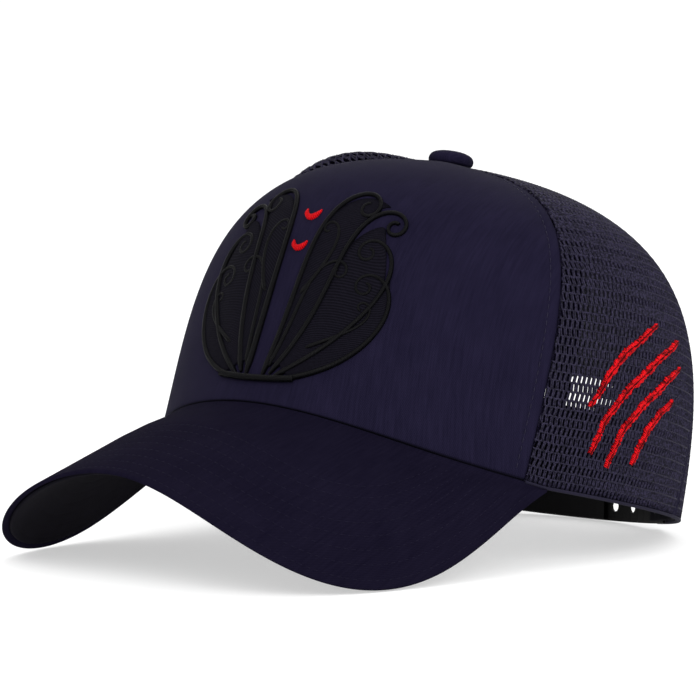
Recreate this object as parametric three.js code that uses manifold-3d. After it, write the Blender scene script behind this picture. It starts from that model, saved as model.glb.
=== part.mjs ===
// Five-panel cap with a stiff front panel, net side and back panels and a curved peak.
// Millimetres, +Z up, the front towards -Y and the wearer's left towards +X.
// The crown is worked out level, standing on its rim, and then tipped back as it rests.
import * as THREE from 'three';
import Module from 'manifold-3d';

const wasm = await Module();
wasm.setup();

// Crown
const rimHalfLength = 98.7;
const rimHalfWidth = 92.8;
const rimSquareness = 2.02;
const crownHeight = 116;
const topSetForward = 9.3;
const tipBackDegrees = 12.54;
// How the walls rise at the front, the sides and the back:
// bulge at the rim, height of the wall, reach of the shoulder, fullness of the top.
const profiles = {
  front: { bulge: -0.244, wall: 0.582, shoulder: 0.929, top: 0.035 },
  side: { bulge: 0.149, wall: 0.772, shoulder: 0.816, top: -0.072 },
  back: { bulge: -0.125, wall: 0.678, shoulder: 0.639, top: -0.05 },
};
const frontRidgeDrop = 1.9;
// How the soft net puffs up behind the stiff front: in mm, with its place and width in degrees
const leftShoulder = { rise: 0.9, middle: 92, width: 26 };
const rightShoulder = { rise: 10.2, middle: 83, width: 34 };
const shoulderStart = -3.5;
const shoulderFull = 7;
// Powers of s and of what is left above it, for the net's puff and for the front's ridge
const puffPowers = { below: 5, above: 1.75 };
const ridgePowers = { below: 8, above: 2 };

// Panels: s runs from 0 at the rim to 1 at the top, angles are measured from the front
const frontSeam = { atRim: 64.4, atTop: 74.8, bend: 1.06 };
const panelTopS = 0.981;
const seamGap = 0.3;
const frontPanelThick = 2.4;
const netThick = 1.0;
// Cloth tapes over the seams at the sides and the middle of the back
const sideTape = { atRim: 119, atTop: 124 };
const tapeHalfWidth = 3.5;
const tapeTopHalfAngle = 17;

// Rear arch and its binding
const archHalfAngle = 25.5;
const archTopS = 0.27;
const bindingReach = 4.8;
const bindingWall = 0.7;
const bindingClearance = 0.6;

// Peak: a sheet bent about the front-to-back axis and sloping down to the front
const peakCornerAngle = 69.3;
const peakSlopeDegrees = 29.1;
const peakBendRadius = 90.3;
const peakBendGain = 0.261;
const peakHalfWidth = 87.6;
const peakLength = 61.4;
const peakWidestY = -49.6;
const peakEdgePowers = { x: 0.639, y: 0.734 };
const peakCornerPull = 0.503;
const peakTopThick = 1.5;
const peakUnderThick = 1.2;

// Sweatband, straps, button
const sweatband = { height: 30, thick: 1.4, halfAngle: 152 };
const strap = { height: 11.5, thick: 1.0, depth: 2.5, endAngle: 34.5, drop: 0.53 };
const strapHoleRadius = 2.1;
const strapHoleHeight = 5.2;
const holesStrapEnd = -19.8;
const pegsStrapEnd = 7.2;
const holeOffsets = [27.8, 17, 6.2, -4.6, -15.4, -26.2];
const pegOffsets = [6.2, -4.6, -15.4, -26.2];
const button = { radius: 7.9, height: 5.3, stem: 3.1 };

// Raised embroidery
const emblemCentreHeight = 47.5;
const emblemStretch = 1.16;
const emblemLift = 0.42;
const emblemRaise = 1.1;
const tipCurlPower = 5;
// Half of a palmette of curling stems: start across and up, heading and turn rates in
// degrees and degrees per mm; the other half mirrors it.
const stems = [
  { x: -3.2, y: -37, heading: 95, length: 106, turn: -0.08, curl: 26, width: 2.4 },
  { x: -5.5, y: -36, heading: 117, length: 98, turn: -0.45, curl: 31, width: 2.3 },
  { x: -7, y: -37, heading: 141, length: 88, turn: -0.42, curl: -31, width: 2.2 },
  { x: -9.5, y: -37.5, heading: 163, length: 78, turn: -1.15, curl: -33, width: 2.1 },
  { x: -4.6, y: -33, heading: 102, length: 60, turn: -0.2, curl: 42, width: 2.0 },
  { x: -7.6, y: -5, heading: 124, length: 40, turn: -0.9, curl: -50, width: 1.9 },
  { x: -15.5, y: -24.5, heading: 150, length: 34, turn: -0.2, curl: -58, width: 1.8 },
];
const stemTie = { x: -14, y: -36.5, heading: -12, length: 29, turn: 0.85, curl: 0, width: 2.4 };
const accents = [
  { name: 'emblem_accent_upper', x: 0, y: 29, radius: 3.4 },
  { name: 'emblem_accent_lower', x: 0, y: 16, radius: 2.9 },
];
// Slanting strokes on the wearer's left: angle and s at both ends, and how far they bow
const clawStrokes = [
  { fromAngle: 94.7, fromS: 0.310, toAngle: 76.2, toS: 0.128, bow: -2.6, width: 3.0 },
  { fromAngle: 104.6, fromS: 0.288, toAngle: 78.2, toS: 0.058, bow: -4.9, width: 3.2 },
  { fromAngle: 105.2, fromS: 0.233, toAngle: 83.4, toS: 0.043, bow: -4.3, width: 3.2 },
  { fromAngle: 102.4, fromS: 0.169, toAngle: 91.3, toS: 0.054, bow: -2.4, width: 3.0 },
];
const clawRaise = 1.1;

const colours = {
  navyCloth: 0x1e1b30,
  navyPeak: 0x1b1826,
  blackCloth: 0x121216,
  netThread: 0x28263c,
  blackThread: 0x141416,
  redThread: 0xe6141e,
  blackPlastic: 0x0e0e10,
};

const rad = THREE.MathUtils.degToRad;
const lerp = THREE.MathUtils.lerp;
const smooth = THREE.MathUtils.smoothstep;

// The crown's surface

function rimPlan(angle) {
  const s = Math.sin(angle);
  const c = Math.cos(angle);
  const n = rimSquareness;
  const k = (Math.abs(s / rimHalfWidth) ** n + Math.abs(c / rimHalfLength) ** n) ** (-1 / n);
  return { x: k * s, y: -k * c };
}

function peakSag(x, y) {
  const limit = 0.96 * peakBendRadius;
  const ax = Math.abs(x);
  const inside = Math.min(ax, limit);
  const root = Math.sqrt(peakBendRadius ** 2 - inside ** 2);
  const sag = peakBendRadius - root + (ax - inside) * (inside / root);
  const ahead = THREE.MathUtils.clamp((-y - rimHalfLength) / 70, -1.5, 1.5);
  return sag * (1 + peakBendGain * ahead);
}

const slope = Math.tan(rad(peakSlopeDegrees));
const corner = rimPlan(rad(peakCornerAngle));
const peakFrontZ = peakSag(corner.x, corner.y) - slope * (corner.y + rimHalfLength);

function peakZ(x, y) {
  return peakFrontZ + slope * (y + rimHalfLength) - peakSag(x, y);
}

function rimZ(angle) {
  const a = Math.acos(THREE.MathUtils.clamp(Math.cos(angle), -1, 1));
  const { x, y } = rimPlan(angle);
  return a < rad(peakCornerAngle) ? peakZ(x, y) : 0;
}

function seamAngle(s) {
  return frontSeam.atRim + (frontSeam.atTop - frontSeam.atRim) * Math.max(s, 0) ** frontSeam.bend;
}

function mixedProfile(angle) {
  const c = Math.cos(angle);
  const end = c > 0 ? profiles.front : profiles.back;
  const out = {};
  for (const key of Object.keys(end)) {
    out[key] = end[key] * c * c + profiles.side[key] * (1 - c * c);
  }
  return out;
}

// A hump along s with its top at 1, where s is its share of the two powers
function hump(s, { below, above }) {
  const peak = below / (below + above);
  return (s / peak) ** below * ((1 - s) / (1 - peak)) ** above;
}

function crownPoint(angle, s) {
  const plan = rimPlan(angle);
  const p = mixedProfile(angle);
  const b0 = (1 - s) ** 3;
  const b1 = 3 * s * (1 - s) ** 2;
  const b2 = 3 * s * s * (1 - s);
  const b3 = s ** 3;
  const rise = b1 * p.wall + b2 * (1 + p.top) + b3;
  const degrees = THREE.MathUtils.radToDeg(Math.acos(THREE.MathUtils.clamp(Math.cos(angle), -1, 1)));
  const puff = Math.sin(angle) < 0 ? rightShoulder : leftShoulder;
  const behindSeam = smooth(degrees - seamAngle(s), shoulderStart, shoulderFull);
  const lift = puff.rise * Math.exp(-(((degrees - puff.middle) / puff.width) ** 2)) * behindSeam * hump(s, puffPowers);
  const drop = frontRidgeDrop * Math.exp(-((degrees / 42) ** 2)) * hump(s, ridgePowers);
  const reach = b0 + b1 * (1 + p.bulge) + b2 * p.shoulder;
  const wide = reach + (0.5 * lift) / 90;
  const rimLeft = rimZ(angle) * Math.max(0, 1 - rise) ** 1.5;
  return new THREE.Vector3(
    plan.x * wide,
    plan.y * wide - topSetForward * (1 - reach),
    rimLeft + crownHeight * rise + lift - drop,
  );
}

function acrossAndUp(angle, s) {
  const h = 0.002;
  const across = crownPoint(angle + h, s).sub(crownPoint(angle - h, s)).divideScalar(2 * h);
  const low = Math.max(0, s - h);
  const high = Math.min(1, s + h);
  const up = crownPoint(angle, high).sub(crownPoint(angle, low)).divideScalar(high - low);
  return { across, up };
}

function crownNormal(angle, s) {
  const { across, up } = acrossAndUp(angle, s);
  return across.cross(up).normalize();
}

// A point under the crown's surface (above it where depth is negative). Walls end level at the rim.
function wallPoint(angle, s, depth) {
  const normal = crownNormal(angle, Math.max(s, 0));
  const level = smooth(s, 0, 0.08);
  const direction = new THREE.Vector3(normal.x, normal.y, normal.z * level).normalize();
  return crownPoint(angle, s).addScaledVector(direction, -depth / direction.dot(normal));
}

// The value of s at a height measured up the wall from the rim
function sAtHeight(angle, height) {
  if (height <= 0) return 0;
  const step = 0.004;
  let s = 0;
  let run = 0;
  let last = crownPoint(angle, 0);
  while (run < height && s < 1) {
    s += step;
    const next = crownPoint(angle, s);
    const gone = next.distanceTo(last);
    if (run + gone >= height) return s - step + (step * (height - run)) / gone;
    run += gone;
    last = next;
  }
  return s;
}

function radiusAt(s) {
  return crownPoint(Math.PI / 2, s).x;
}

// From the level crown to the cap as it rests
const tip = rad(tipBackDegrees);
function seat(p) {
  return new THREE.Vector3(
    p.x,
    p.y * Math.cos(tip) + p.z * Math.sin(tip),
    p.z * Math.cos(tip) - p.y * Math.sin(tip) + rimHalfLength * Math.sin(tip),
  );
}

// Solids

function volumeOf(position, index) {
  const a = new THREE.Vector3();
  const b = new THREE.Vector3();
  const c = new THREE.Vector3();
  let sum = 0;
  for (let i = 0; i < index.length; i += 3) {
    a.fromArray(position, index[i] * 3);
    b.fromArray(position, index[i + 1] * 3);
    c.fromArray(position, index[i + 2] * 3);
    sum += a.dot(b.cross(c)) / 6;
  }
  return sum;
}

function solidFrom(position, index) {
  if (volumeOf(position, index) < 0) {
    for (let i = 0; i < index.length; i += 3) [index[i + 1], index[i + 2]] = [index[i + 2], index[i + 1]];
  }
  const geometry = new THREE.BufferGeometry();
  geometry.setAttribute('position', new THREE.Float32BufferAttribute(position, 3));
  geometry.setIndex(index);
  return geometry;
}

// A sheet with thickness: outer(i, j) and inner(i, j) give its two faces on a grid
function slab(columns, rows, outer, inner) {
  const position = [];
  const index = [];
  const wide = columns + 1;
  const count = wide * (rows + 1);
  for (const face of [outer, inner]) {
    for (let j = 0; j <= rows; j += 1) {
      for (let i = 0; i <= columns; i += 1) position.push(...seat(face(i, j)).toArray());
    }
  }
  const quad = (a, b, c, d) => index.push(a, b, c, a, c, d);
  for (let j = 0; j < rows; j += 1) {
    for (let i = 0; i < columns; i += 1) {
      const a = j * wide + i;
      quad(a, a + 1, a + 1 + wide, a + wide);
      quad(a + count, a + wide + count, a + 1 + wide + count, a + 1 + count);
    }
  }
  const edge = (a, b) => quad(a, a + count, b + count, b);
  for (let i = 0; i < columns; i += 1) {
    edge(i, i + 1);
    edge(rows * wide + i + 1, rows * wide + i);
  }
  for (let j = 0; j < rows; j += 1) {
    edge((j + 1) * wide, j * wide);
    edge(j * wide + columns, (j + 1) * wide + columns);
  }
  return solidFrom(position, index);
}

// A closed section carried along a row of stations; section(i) returns its points
function sweep(stations, section) {
  const position = [];
  const index = [];
  let size = 0;
  for (let i = 0; i < stations; i += 1) {
    const ring = section(i);
    size = ring.length;
    for (const p of ring) position.push(...seat(p).toArray());
  }
  for (let i = 0; i < stations - 1; i += 1) {
    for (let k = 0; k < size; k += 1) {
      const a = i * size + k;
      const b = i * size + ((k + 1) % size);
      index.push(a, b, b + size, a, b + size, a + size);
    }
  }
  return { position, index, size };
}

function capFan(shape, start, order, flip) {
  for (let k = 1; k < order.length - 1; k += 1) {
    const face = [start + order[0], start + order[k], start + order[k + 1]];
    shape.index.push(...(flip ? face : face.reverse()));
  }
}

function toManifold(geometry) {
  return new wasm.Manifold(new wasm.Mesh({
    numProp: 3,
    vertProperties: new Float32Array(geometry.attributes.position.array),
    triVerts: new Uint32Array(geometry.index.array),
  }));
}

function fromManifold(body) {
  const mesh = body.getMesh();
  const position = [];
  for (let i = 0; i < mesh.vertProperties.length; i += mesh.numProp) {
    position.push(mesh.vertProperties[i], mesh.vertProperties[i + 1], mesh.vertProperties[i + 2]);
  }
  return solidFrom(position, Array.from(mesh.triVerts));
}

// Turned and plain shapes come with split vertices, so they are joined up first
function welded(source) {
  const keys = new Map();
  const position = [];
  const array = source.attributes.position.array;
  const map = [];
  for (let i = 0; i < array.length; i += 3) {
    const key = [array[i], array[i + 1], array[i + 2]].map((v) => Math.round(v * 1e4)).join(',');
    if (!keys.has(key)) {
      keys.set(key, position.length / 3);
      position.push(array[i], array[i + 1], array[i + 2]);
    }
    map.push(keys.get(key));
  }
  const order = source.index ? Array.from(source.index.array) : map.map((_, i) => i);
  const index = [];
  for (let i = 0; i < order.length; i += 3) {
    const [a, b, c] = [map[order[i]], map[order[i + 1]], map[order[i + 2]]];
    if (a !== b && b !== c && c !== a) index.push(a, b, c);
  }
  return solidFrom(position, index);
}

// Panels of the crown

const halfGap = seamGap / 2;
const gapAngle = (s) => THREE.MathUtils.radToDeg(halfGap / radiusAt(s));

const tapeHalfAngle = (s) => Math.min(THREE.MathUtils.radToDeg(tapeHalfWidth / radiusAt(s)), tapeTopHalfAngle);
const sideTapeFront = (s) => lerp(sideTape.atRim, sideTape.atTop, s) - tapeHalfAngle(s);
const sideTapeRear = (s) => lerp(sideTape.atRim, sideTape.atTop, s) + tapeHalfAngle(s);
const rearTapeStart = (s) => 180 - tapeHalfAngle(s);

function archS(angle) {
  const off = Math.abs(180 - angle) / archHalfAngle;
  return off < 1 ? archTopS * Math.sqrt(1 - off * off) : 0;
}

const rowShare = (j, rows) => j / rows;

// A panel between two edge lines given as angles by s, from the rim to the top
function uprightPanel(columns, rows, left, right, thick) {
  const at = (i, j, depth) => {
    const s = panelTopS * rowShare(j, rows);
    const a = left(s) + gapAngle(s);
    const b = right(s) - gapAngle(s);
    return wallPoint(rad(lerp(a, b, i / columns)), s, depth);
  };
  return slab(columns, rows, (i, j) => at(i, j, 0), (i, j) => at(i, j, thick));
}

// A rear net panel, whose lower edge runs along the rim and then up the arch
function rearPanel(side, columns, rows) {
  const rimColumns = Math.round(columns * 0.36);
  const firstAngle = (s) => sideTapeRear(s) + gapAngle(s);
  const lastAngle = (s) => rearTapeStart(s) - gapAngle(s);
  const archEnd = (180 - lastAngle(archTopS)) / archHalfAngle;
  const foot = (i) => {
    if (i <= rimColumns) {
      return { angle: lerp(firstAngle(0), 180 - archHalfAngle, i / rimColumns), s: 0 };
    }
    const turn = ((i - rimColumns) / (columns - rimColumns)) * Math.acos(archEnd);
    return { angle: 180 - archHalfAngle * Math.cos(turn), s: archTopS * Math.sin(turn) };
  };
  const at = (i, j, depth) => {
    const low = foot(i);
    const u = i / columns;
    const w = rowShare(j, rows);
    const s = lerp(low.s, panelTopS, w);
    const first = firstAngle(s) - lerp(firstAngle(0), firstAngle(panelTopS), w);
    const last = lastAngle(s) - lerp(lastAngle(archTopS), lastAngle(panelTopS), w);
    const top = lerp(firstAngle(panelTopS), lastAngle(panelTopS), u);
    const angle = lerp(low.angle, top, w) + (1 - u) * first + u * last;
    return wallPoint(rad(side * angle), s, depth);
  };
  return slab(columns, rows, (i, j) => at(i, j, 0), (i, j) => at(i, j, netThick));
}

function rearTape(columns, rows) {
  const at = (i, j, depth) => {
    const u = i / columns;
    const edge = rearTapeStart(archTopS) + gapAngle(archTopS);
    const s = lerp(archS(lerp(edge, 360 - edge, u)), panelTopS, rowShare(j, rows));
    const half = tapeHalfAngle(s) - gapAngle(s);
    return wallPoint(rad(180 + lerp(-half, half, u)), s, depth);
  };
  return slab(columns, rows, (i, j) => at(i, j, 0), (i, j) => at(i, j, netThick));
}

// Angle and s a given distance to the side of a line on the crown
function sidestep(angle, s, alongAngle, alongS, distance) {
  const { across, up } = acrossAndUp(angle, Math.max(s, 0));
  const along = across.clone().multiplyScalar(alongAngle).addScaledVector(up, alongS).normalize();
  const normal = across.clone().cross(up).normalize();
  const aside = normal.clone().cross(along).multiplyScalar(distance);
  const aa = across.dot(across);
  const uu = up.dot(up);
  const au = across.dot(up);
  const det = aa * uu - au * au;
  const da = aside.dot(across);
  const du = aside.dot(up);
  return { angle: angle + (da * uu - du * au) / det, s: s + (du * aa - da * au) / det };
}

function archBinding(stations) {
  const clear = bindingClearance;
  const out = netThick + clear + bindingWall;
  const section = [
    [-clear - bindingWall, -clear - bindingWall], [bindingReach, -clear - bindingWall],
    [bindingReach, -clear], [-clear, -clear], [-clear, out - bindingWall],
    [bindingReach, out - bindingWall], [bindingReach, out], [-clear - bindingWall, out],
  ];
  const shape = sweep(stations, (i) => {
    const turn = (Math.PI * i) / (stations - 1);
    const angle = Math.PI - rad(archHalfAngle) * Math.cos(turn);
    const s = archTopS * Math.sin(turn);
    const alongAngle = rad(archHalfAngle) * Math.sin(turn);
    const alongS = archTopS * Math.cos(turn);
    return section.map(([away, depth]) => {
      const p = sidestep(angle, s, alongAngle, alongS, away);
      return wallPoint(p.angle, Math.max(p.s, 0), depth);
    });
  });
  for (const [start, flip] of [[0, false], [(stations - 1) * shape.size, true]]) {
    capFan(shape, start, [0, 1, 2, 3], flip);
    capFan(shape, start, [4, 5, 6, 7], flip);
    capFan(shape, start, [0, 3, 4, 7], flip);
  }
  return solidFrom(shape.position, shape.index);
}

// The peak

function resample(line, count) {
  const run = [0];
  for (let i = 1; i < line.length; i += 1) {
    run.push(run[i - 1] + Math.hypot(line[i].x - line[i - 1].x, line[i].y - line[i - 1].y));
  }
  const out = [];
  let k = 0;
  for (let i = 0; i <= count; i += 1) {
    const want = (run[run.length - 1] * i) / count;
    while (k < run.length - 2 && run[k + 1] < want) k += 1;
    const t = (want - run[k]) / (run[k + 1] - run[k]);
    out.push({ x: lerp(line[k].x, line[k + 1].x, t), y: lerp(line[k].y, line[k + 1].y, t) });
  }
  return out;
}

// Half of the outer edge, from the middle of the front to the corner
function peakEdgeLine(count) {
  const depth = rimHalfLength + peakLength + peakWidestY;
  const line = [];
  for (let i = 0; i <= 400; i += 1) {
    const turn = (Math.PI / 2) * (i / 400) ** 1.5;
    line.push({
      x: peakHalfWidth * Math.sin(turn) ** peakEdgePowers.x,
      y: peakWidestY - depth * Math.max(0, Math.cos(turn)) ** peakEdgePowers.y,
    });
  }
  const back = new THREE.QuadraticBezierCurve(
    new THREE.Vector2(peakHalfWidth, peakWidestY),
    new THREE.Vector2(peakHalfWidth, peakWidestY + peakCornerPull * (corner.y - peakWidestY)),
    new THREE.Vector2(corner.x + 0.5, corner.y),
  );
  line.push(...back.getPoints(40).slice(1));
  return resample(line, count);
}

function peakNormal(x, y) {
  const h = 0.2;
  const dx = (peakZ(x + h, y) - peakZ(x - h, y)) / (2 * h);
  const dy = (peakZ(x, y + h) - peakZ(x, y - h)) / (2 * h);
  return new THREE.Vector3(-dx, -dy, 1).normalize();
}

const peakGap = 0.3;
const peakSteps = [-1, 0, 0.08, 0.2, 0.36, 0.55, 0.76, 0.92, 1];

function peakLayer(halfColumns, upper) {
  const edge = peakEdgeLine(halfColumns);
  const columns = 2 * halfColumns;
  const at = (i, j, lower) => {
    const t = (i - halfColumns) / halfColumns;
    const side = Math.sign(t) || 1;
    const angle = t * rad(peakCornerAngle);
    const plan = rimPlan(angle);
    const out = edge[Math.abs(i - halfColumns)];
    const step = peakSteps[j];
    const taper = 1 - 0.55 * smooth(Math.abs(t), 0.84, 1);
    const tuck = lerp(frontPanelThick, 0.6, smooth(Math.abs(t), 0.45, 0.8));
    const v = Math.max(0, step);
    const start = step < 0 ? wallPoint(angle, 0, tuck) : { x: plan.x, y: plan.y };
    const x = lerp(start.x, side * out.x, v);
    const y = lerp(start.y, out.y, v);
    const rise = smooth(v, 0, 0.35);
    const normal = peakNormal(plan.x * (1 - v) + side * out.x * v, y);
    if (step < 0) {
      normal.lerp(new THREE.Vector3(0, 0, 1), 1 - smooth(Math.abs(t), 0.4, 0.75)).normalize();
    }
    const z = (step < 0 ? rimZ(angle) : peakZ(x, y)) - 0.35 * (1 - rise);
    const total = (peakTopThick + peakGap + peakUnderThick) * taper;
    const face = upper ? (lower ? peakTopThick * taper : 0) : lower ? total : (peakTopThick + peakGap) * taper;
    const crest = 1.5 * rise * taper;
    return new THREE.Vector3(x, y, z).addScaledVector(normal, crest - face);
  };
  return slab(columns, peakSteps.length - 1, (i, j) => at(i, j, false), (i, j) => at(i, j, true));
}

// Cloth that rests on the surface is pressed flat there
function pressedFlat(geometry) {
  const slabBelow = welded(new THREE.BoxGeometry(600, 600, 40).translate(0, 0, -20));
  return fromManifold(toManifold(geometry).subtract(toManifold(slabBelow)));
}

// Bands that follow the wall inside

function wallBand(columns, rows, fromDegrees, toDegrees, low, high, depthAt, thick) {
  const at = (i, j, extra) => {
    const degrees = lerp(fromDegrees, toDegrees, i / columns);
    const angle = rad(degrees);
    const height = lerp(low, high, j / rows);
    const p = wallPoint(angle, sAtHeight(angle, height), depthAt(degrees) + extra);
    p.z += Math.min(0, height);
    return p;
  };
  return slab(columns, rows, (i, j) => at(i, j, 0), (i, j) => at(i, j, thick));
}

function sweatbandDepth(degrees) {
  const a = Math.abs(degrees);
  const behindFront = frontPanelThick + 0.3;
  const behindNet = netThick + 0.6;
  const behindStrap = strap.depth + strap.thick + 0.35;
  if (a < 110) return lerp(behindFront, behindNet, smooth(a, 70, 86));
  return lerp(behindNet, behindStrap, smooth(a, 132, 144));
}

function strapAngleAt(offset) {
  return THREE.MathUtils.radToDeg(Math.asin(offset / (rimHalfLength - strap.depth)));
}

function facingWall(geometry, degrees, height, depth) {
  const angle = rad(degrees);
  const s = sAtHeight(angle, height);
  const where = seat(wallPoint(angle, s, depth));
  const outward = seat(wallPoint(angle, s, depth - 1)).sub(where).normalize();
  const turn = new THREE.Quaternion().setFromUnitVectors(new THREE.Vector3(0, 1, 0), outward);
  return welded(geometry.applyQuaternion(turn).translate(where.x, where.y, where.z));
}

function strapWithHoles() {
  const plain = wallBand(18, 1, 180 - strap.endAngle, 180 - holesStrapEnd, -strap.drop, strap.height - strap.drop,
    () => strap.depth, strap.thick);
  let body = toManifold(plain);
  for (const offset of holeOffsets) {
    const drill = new THREE.CylinderGeometry(strapHoleRadius, strapHoleRadius, 8, 12);
    body = body.subtract(toManifold(facingWall(drill, 180 - strapAngleAt(offset), strapHoleHeight, strap.depth + strap.thick / 2)));
  }
  return fromManifold(body);
}

function strapWithPegs() {
  const inside = strap.depth + strap.thick + 0.3;
  const depthAt = (degrees) => lerp(inside, strap.depth, smooth(degrees, 201, 207.5));
  const plain = wallBand(16, 1, 180 - pegsStrapEnd, 180 + strap.endAngle, -strap.drop + 0.2, strap.height - strap.drop,
    depthAt, strap.thick);
  let body = toManifold(plain);
  const profile = [[0, -0.6], [1.7, -0.6], [1.7, 1.65], [2.35, 1.75], [2.35, 2.2], [1.6, 2.8], [0, 2.8]];
  for (const offset of pegOffsets) {
    const peg = new THREE.LatheGeometry(profile.map(([r, y]) => new THREE.Vector2(r, y)), 12);
    body = body.add(toManifold(facingWall(peg, 180 - strapAngleAt(offset), strapHoleHeight, inside)));
  }
  return fromManifold(body);
}

function coveredButton() {
  const { radius: r, height: h, stem } = button;
  const profile = [
    [0, -2.6], [stem, -2.6], [stem, 0], [r * 0.9, 0.15], [r, 0.9], [r * 0.985, 2.2],
    [r * 0.88, h * 0.68], [r * 0.66, h * 0.86], [r * 0.36, h * 0.97], [0, h],
  ];
  const turned = new THREE.LatheGeometry(profile.map(([x, y]) => new THREE.Vector2(x, y)), 22);
  turned.rotateX(Math.PI / 2);
  turned.translate(0, -topSetForward, crownHeight + 0.25);
  turned.applyMatrix4(new THREE.Matrix4().makeRotationX(-tip));
  turned.translate(0, 0, rimHalfLength * Math.sin(tip));
  return welded(turned);
}

// Raised cords of embroidery

// Place on the front panel of a point across and up from the emblem's middle
function onFront(x, y) {
  const s = sAtHeight(0, emblemCentreHeight + y);
  return { angle: (emblemStretch * x) / (rimHalfWidth * 0.98), s };
}

// The line of a stem as stations with their place and share of the length
function stemLine(stem, side) {
  const stations = [];
  let { x, y, heading } = stem;
  let gone = 0;
  while (true) {
    const t = Math.min(1, gone / stem.length);
    stations.push({ ...onFront(side * x, y), t });
    if (gone >= stem.length) break;
    const rate = Math.abs(stem.turn + stem.curl * t ** tipCurlPower);
    const wanted = Math.min(THREE.MathUtils.clamp(46 / Math.max(rate, 0.01), 1.8, 11), stem.length - gone);
    for (let k = 0; k < 12; k += 1) {
      const share = (gone + (wanted * (k + 0.5)) / 12) / stem.length;
      heading += ((stem.turn + stem.curl * share ** tipCurlPower) * wanted) / 12;
      x += (wanted / 12) * Math.cos(rad(heading));
      y += (wanted / 12) * Math.sin(rad(heading));
    }
    gone += wanted;
    if (stem.length - gone < 0.5) gone = stem.length;
  }
  return stations;
}

// A raised cord with a flat underside along stations on the crown
function cord(stations, widthAt, lift, raise) {
  const shape = sweep(stations.length, (i) => {
    const here = stations[i];
    const before = stations[Math.max(0, i - 1)];
    const after = stations[Math.min(stations.length - 1, i + 1)];
    const half = widthAt(here.t) / 2;
    const section = [[-half, 0], [-0.55 * half, 0.86], [0.55 * half, 0.86], [half, 0]];
    return section.map(([aside, up]) => {
      const p = sidestep(here.angle, here.s, after.angle - before.angle, after.s - before.s, aside);
      const height = lift + up * raise * Math.min(1, half / 0.9);
      return wallPoint(p.angle, p.s, -height);
    });
  });
  capFan(shape, 0, [0, 1, 2, 3], false);
  capFan(shape, (stations.length - 1) * shape.size, [0, 1, 2, 3], true);
  return solidFrom(shape.position, shape.index);
}

function emblem() {
  const pieces = [];
  const add = (stem, side) => {
    const line = stemLine(stem, side);
    const widthAt = (t) => stem.width * (1 - 0.45 * t);
    const pieceLength = 9;
    for (let k = 0; k < line.length - 1; k += pieceLength) {
      const part = line.slice(k, Math.min(line.length, k + pieceLength + 1));
      if (part.length > 1) pieces.push(toManifold(cord(part, widthAt, emblemLift, emblemRaise)));
    }
  };
  for (const stem of stems) {
    add(stem, 1);
    add(stem, -1);
  }
  add(stemTie, 1);
  return fromManifold(wasm.Manifold.union(pieces));
}

function crescent(accent) {
  const stations = [];
  for (let i = 0; i <= 8; i += 1) {
    const turn = rad(-160 + 140 * (i / 8));
    const x = accent.x + (accent.radius / emblemStretch) * Math.cos(turn);
    stations.push({ ...onFront(x, accent.y + accent.radius * Math.sin(turn)), t: i / 8 });
  }
  return cord(stations, (t) => 0.7 + 2.4 * Math.sin(Math.PI * t), emblemLift, 1.2);
}

function clawStroke(row) {
  const stations = [];
  for (let i = 0; i <= 14; i += 1) {
    const t = i / 14;
    const bow = row.bow * Math.sin(Math.PI * t);
    stations.push({
      angle: rad(lerp(row.fromAngle, row.toAngle, t) + bow),
      s: lerp(row.fromS, row.toS, t),
      t,
    });
  }
  const widthAt = (t) => 1.1 + (row.width - 1.1) * Math.sin(Math.PI * (0.12 + 0.8 * t)) ** 0.8;
  return cord(stations, widthAt, 0.3, clawRaise);
}

// The assembly

const cap = new THREE.Group();
cap.name = 'mesh_back_cap';

function add(name, geometry, material) {
  const [color, roughness] = material;
  const mesh = new THREE.Mesh(geometry, new THREE.MeshStandardMaterial({ color, roughness, metalness: 0 }));
  mesh.name = name;
  mesh.material.name = name;
  geometry.computeVertexNormals();
  cap.add(mesh);
}

const navyCloth = [colours.navyCloth, 0.85];
const net = [colours.netThread, 0.7];

add('front_panel', uprightPanel(24, 13, (s) => -seamAngle(s), seamAngle, frontPanelThick), navyCloth);
for (const [side, name] of [[1, 'left'], [-1, 'right']]) {
  const mirrored = (a, b) => (side > 0 ? [a, b] : [(s) => -b(s), (s) => -a(s)]);
  add(`side_mesh_${name}`, uprightPanel(10, 10, ...mirrored(seamAngle, sideTapeFront), netThick), net);
  add(`side_tape_${name}`, uprightPanel(2, 10, ...mirrored(sideTapeFront, sideTapeRear), netThick), navyCloth);
  add(`rear_mesh_${name}`, rearPanel(side, 14, 10), net);
}
add('rear_tape', rearTape(2, 10), navyCloth);
add('arch_binding', archBinding(31), navyCloth);
add('button', coveredButton(), navyCloth);

add('peak_top', pressedFlat(peakLayer(15, true)), [colours.navyPeak, 0.85]);
add('peak_under', pressedFlat(peakLayer(15, false)), [colours.blackCloth, 0.9]);

add('sweatband', wallBand(48, 2, -sweatband.halfAngle, sweatband.halfAngle, 0.2, sweatband.height, sweatbandDepth,
  sweatband.thick), [colours.blackCloth, 0.9]);
add('strap_holes', strapWithHoles(), [colours.blackPlastic, 0.45]);
add('strap_pegs', strapWithPegs(), [colours.blackPlastic, 0.45]);

add('emblem', emblem(), [colours.blackThread, 0.5]);
for (const accent of accents) add(accent.name, crescent(accent), [colours.redThread, 0.5]);
clawStrokes.forEach((row, k) => add(`claw_stroke_${k + 1}`, clawStroke(row), [colours.redThread, 0.5]));

// Origin at the middle of the bounding box's bottom face
const box = new THREE.Box3().setFromObject(cap);
const middle = box.getCenter(new THREE.Vector3());
for (const mesh of cap.children) mesh.geometry.translate(-middle.x, -middle.y, -box.min.z);

export default cap;
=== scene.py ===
"""A five-panel cap: a stiff cloth front, open net sides and back, and a deeply curved peak."""

import math

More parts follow.
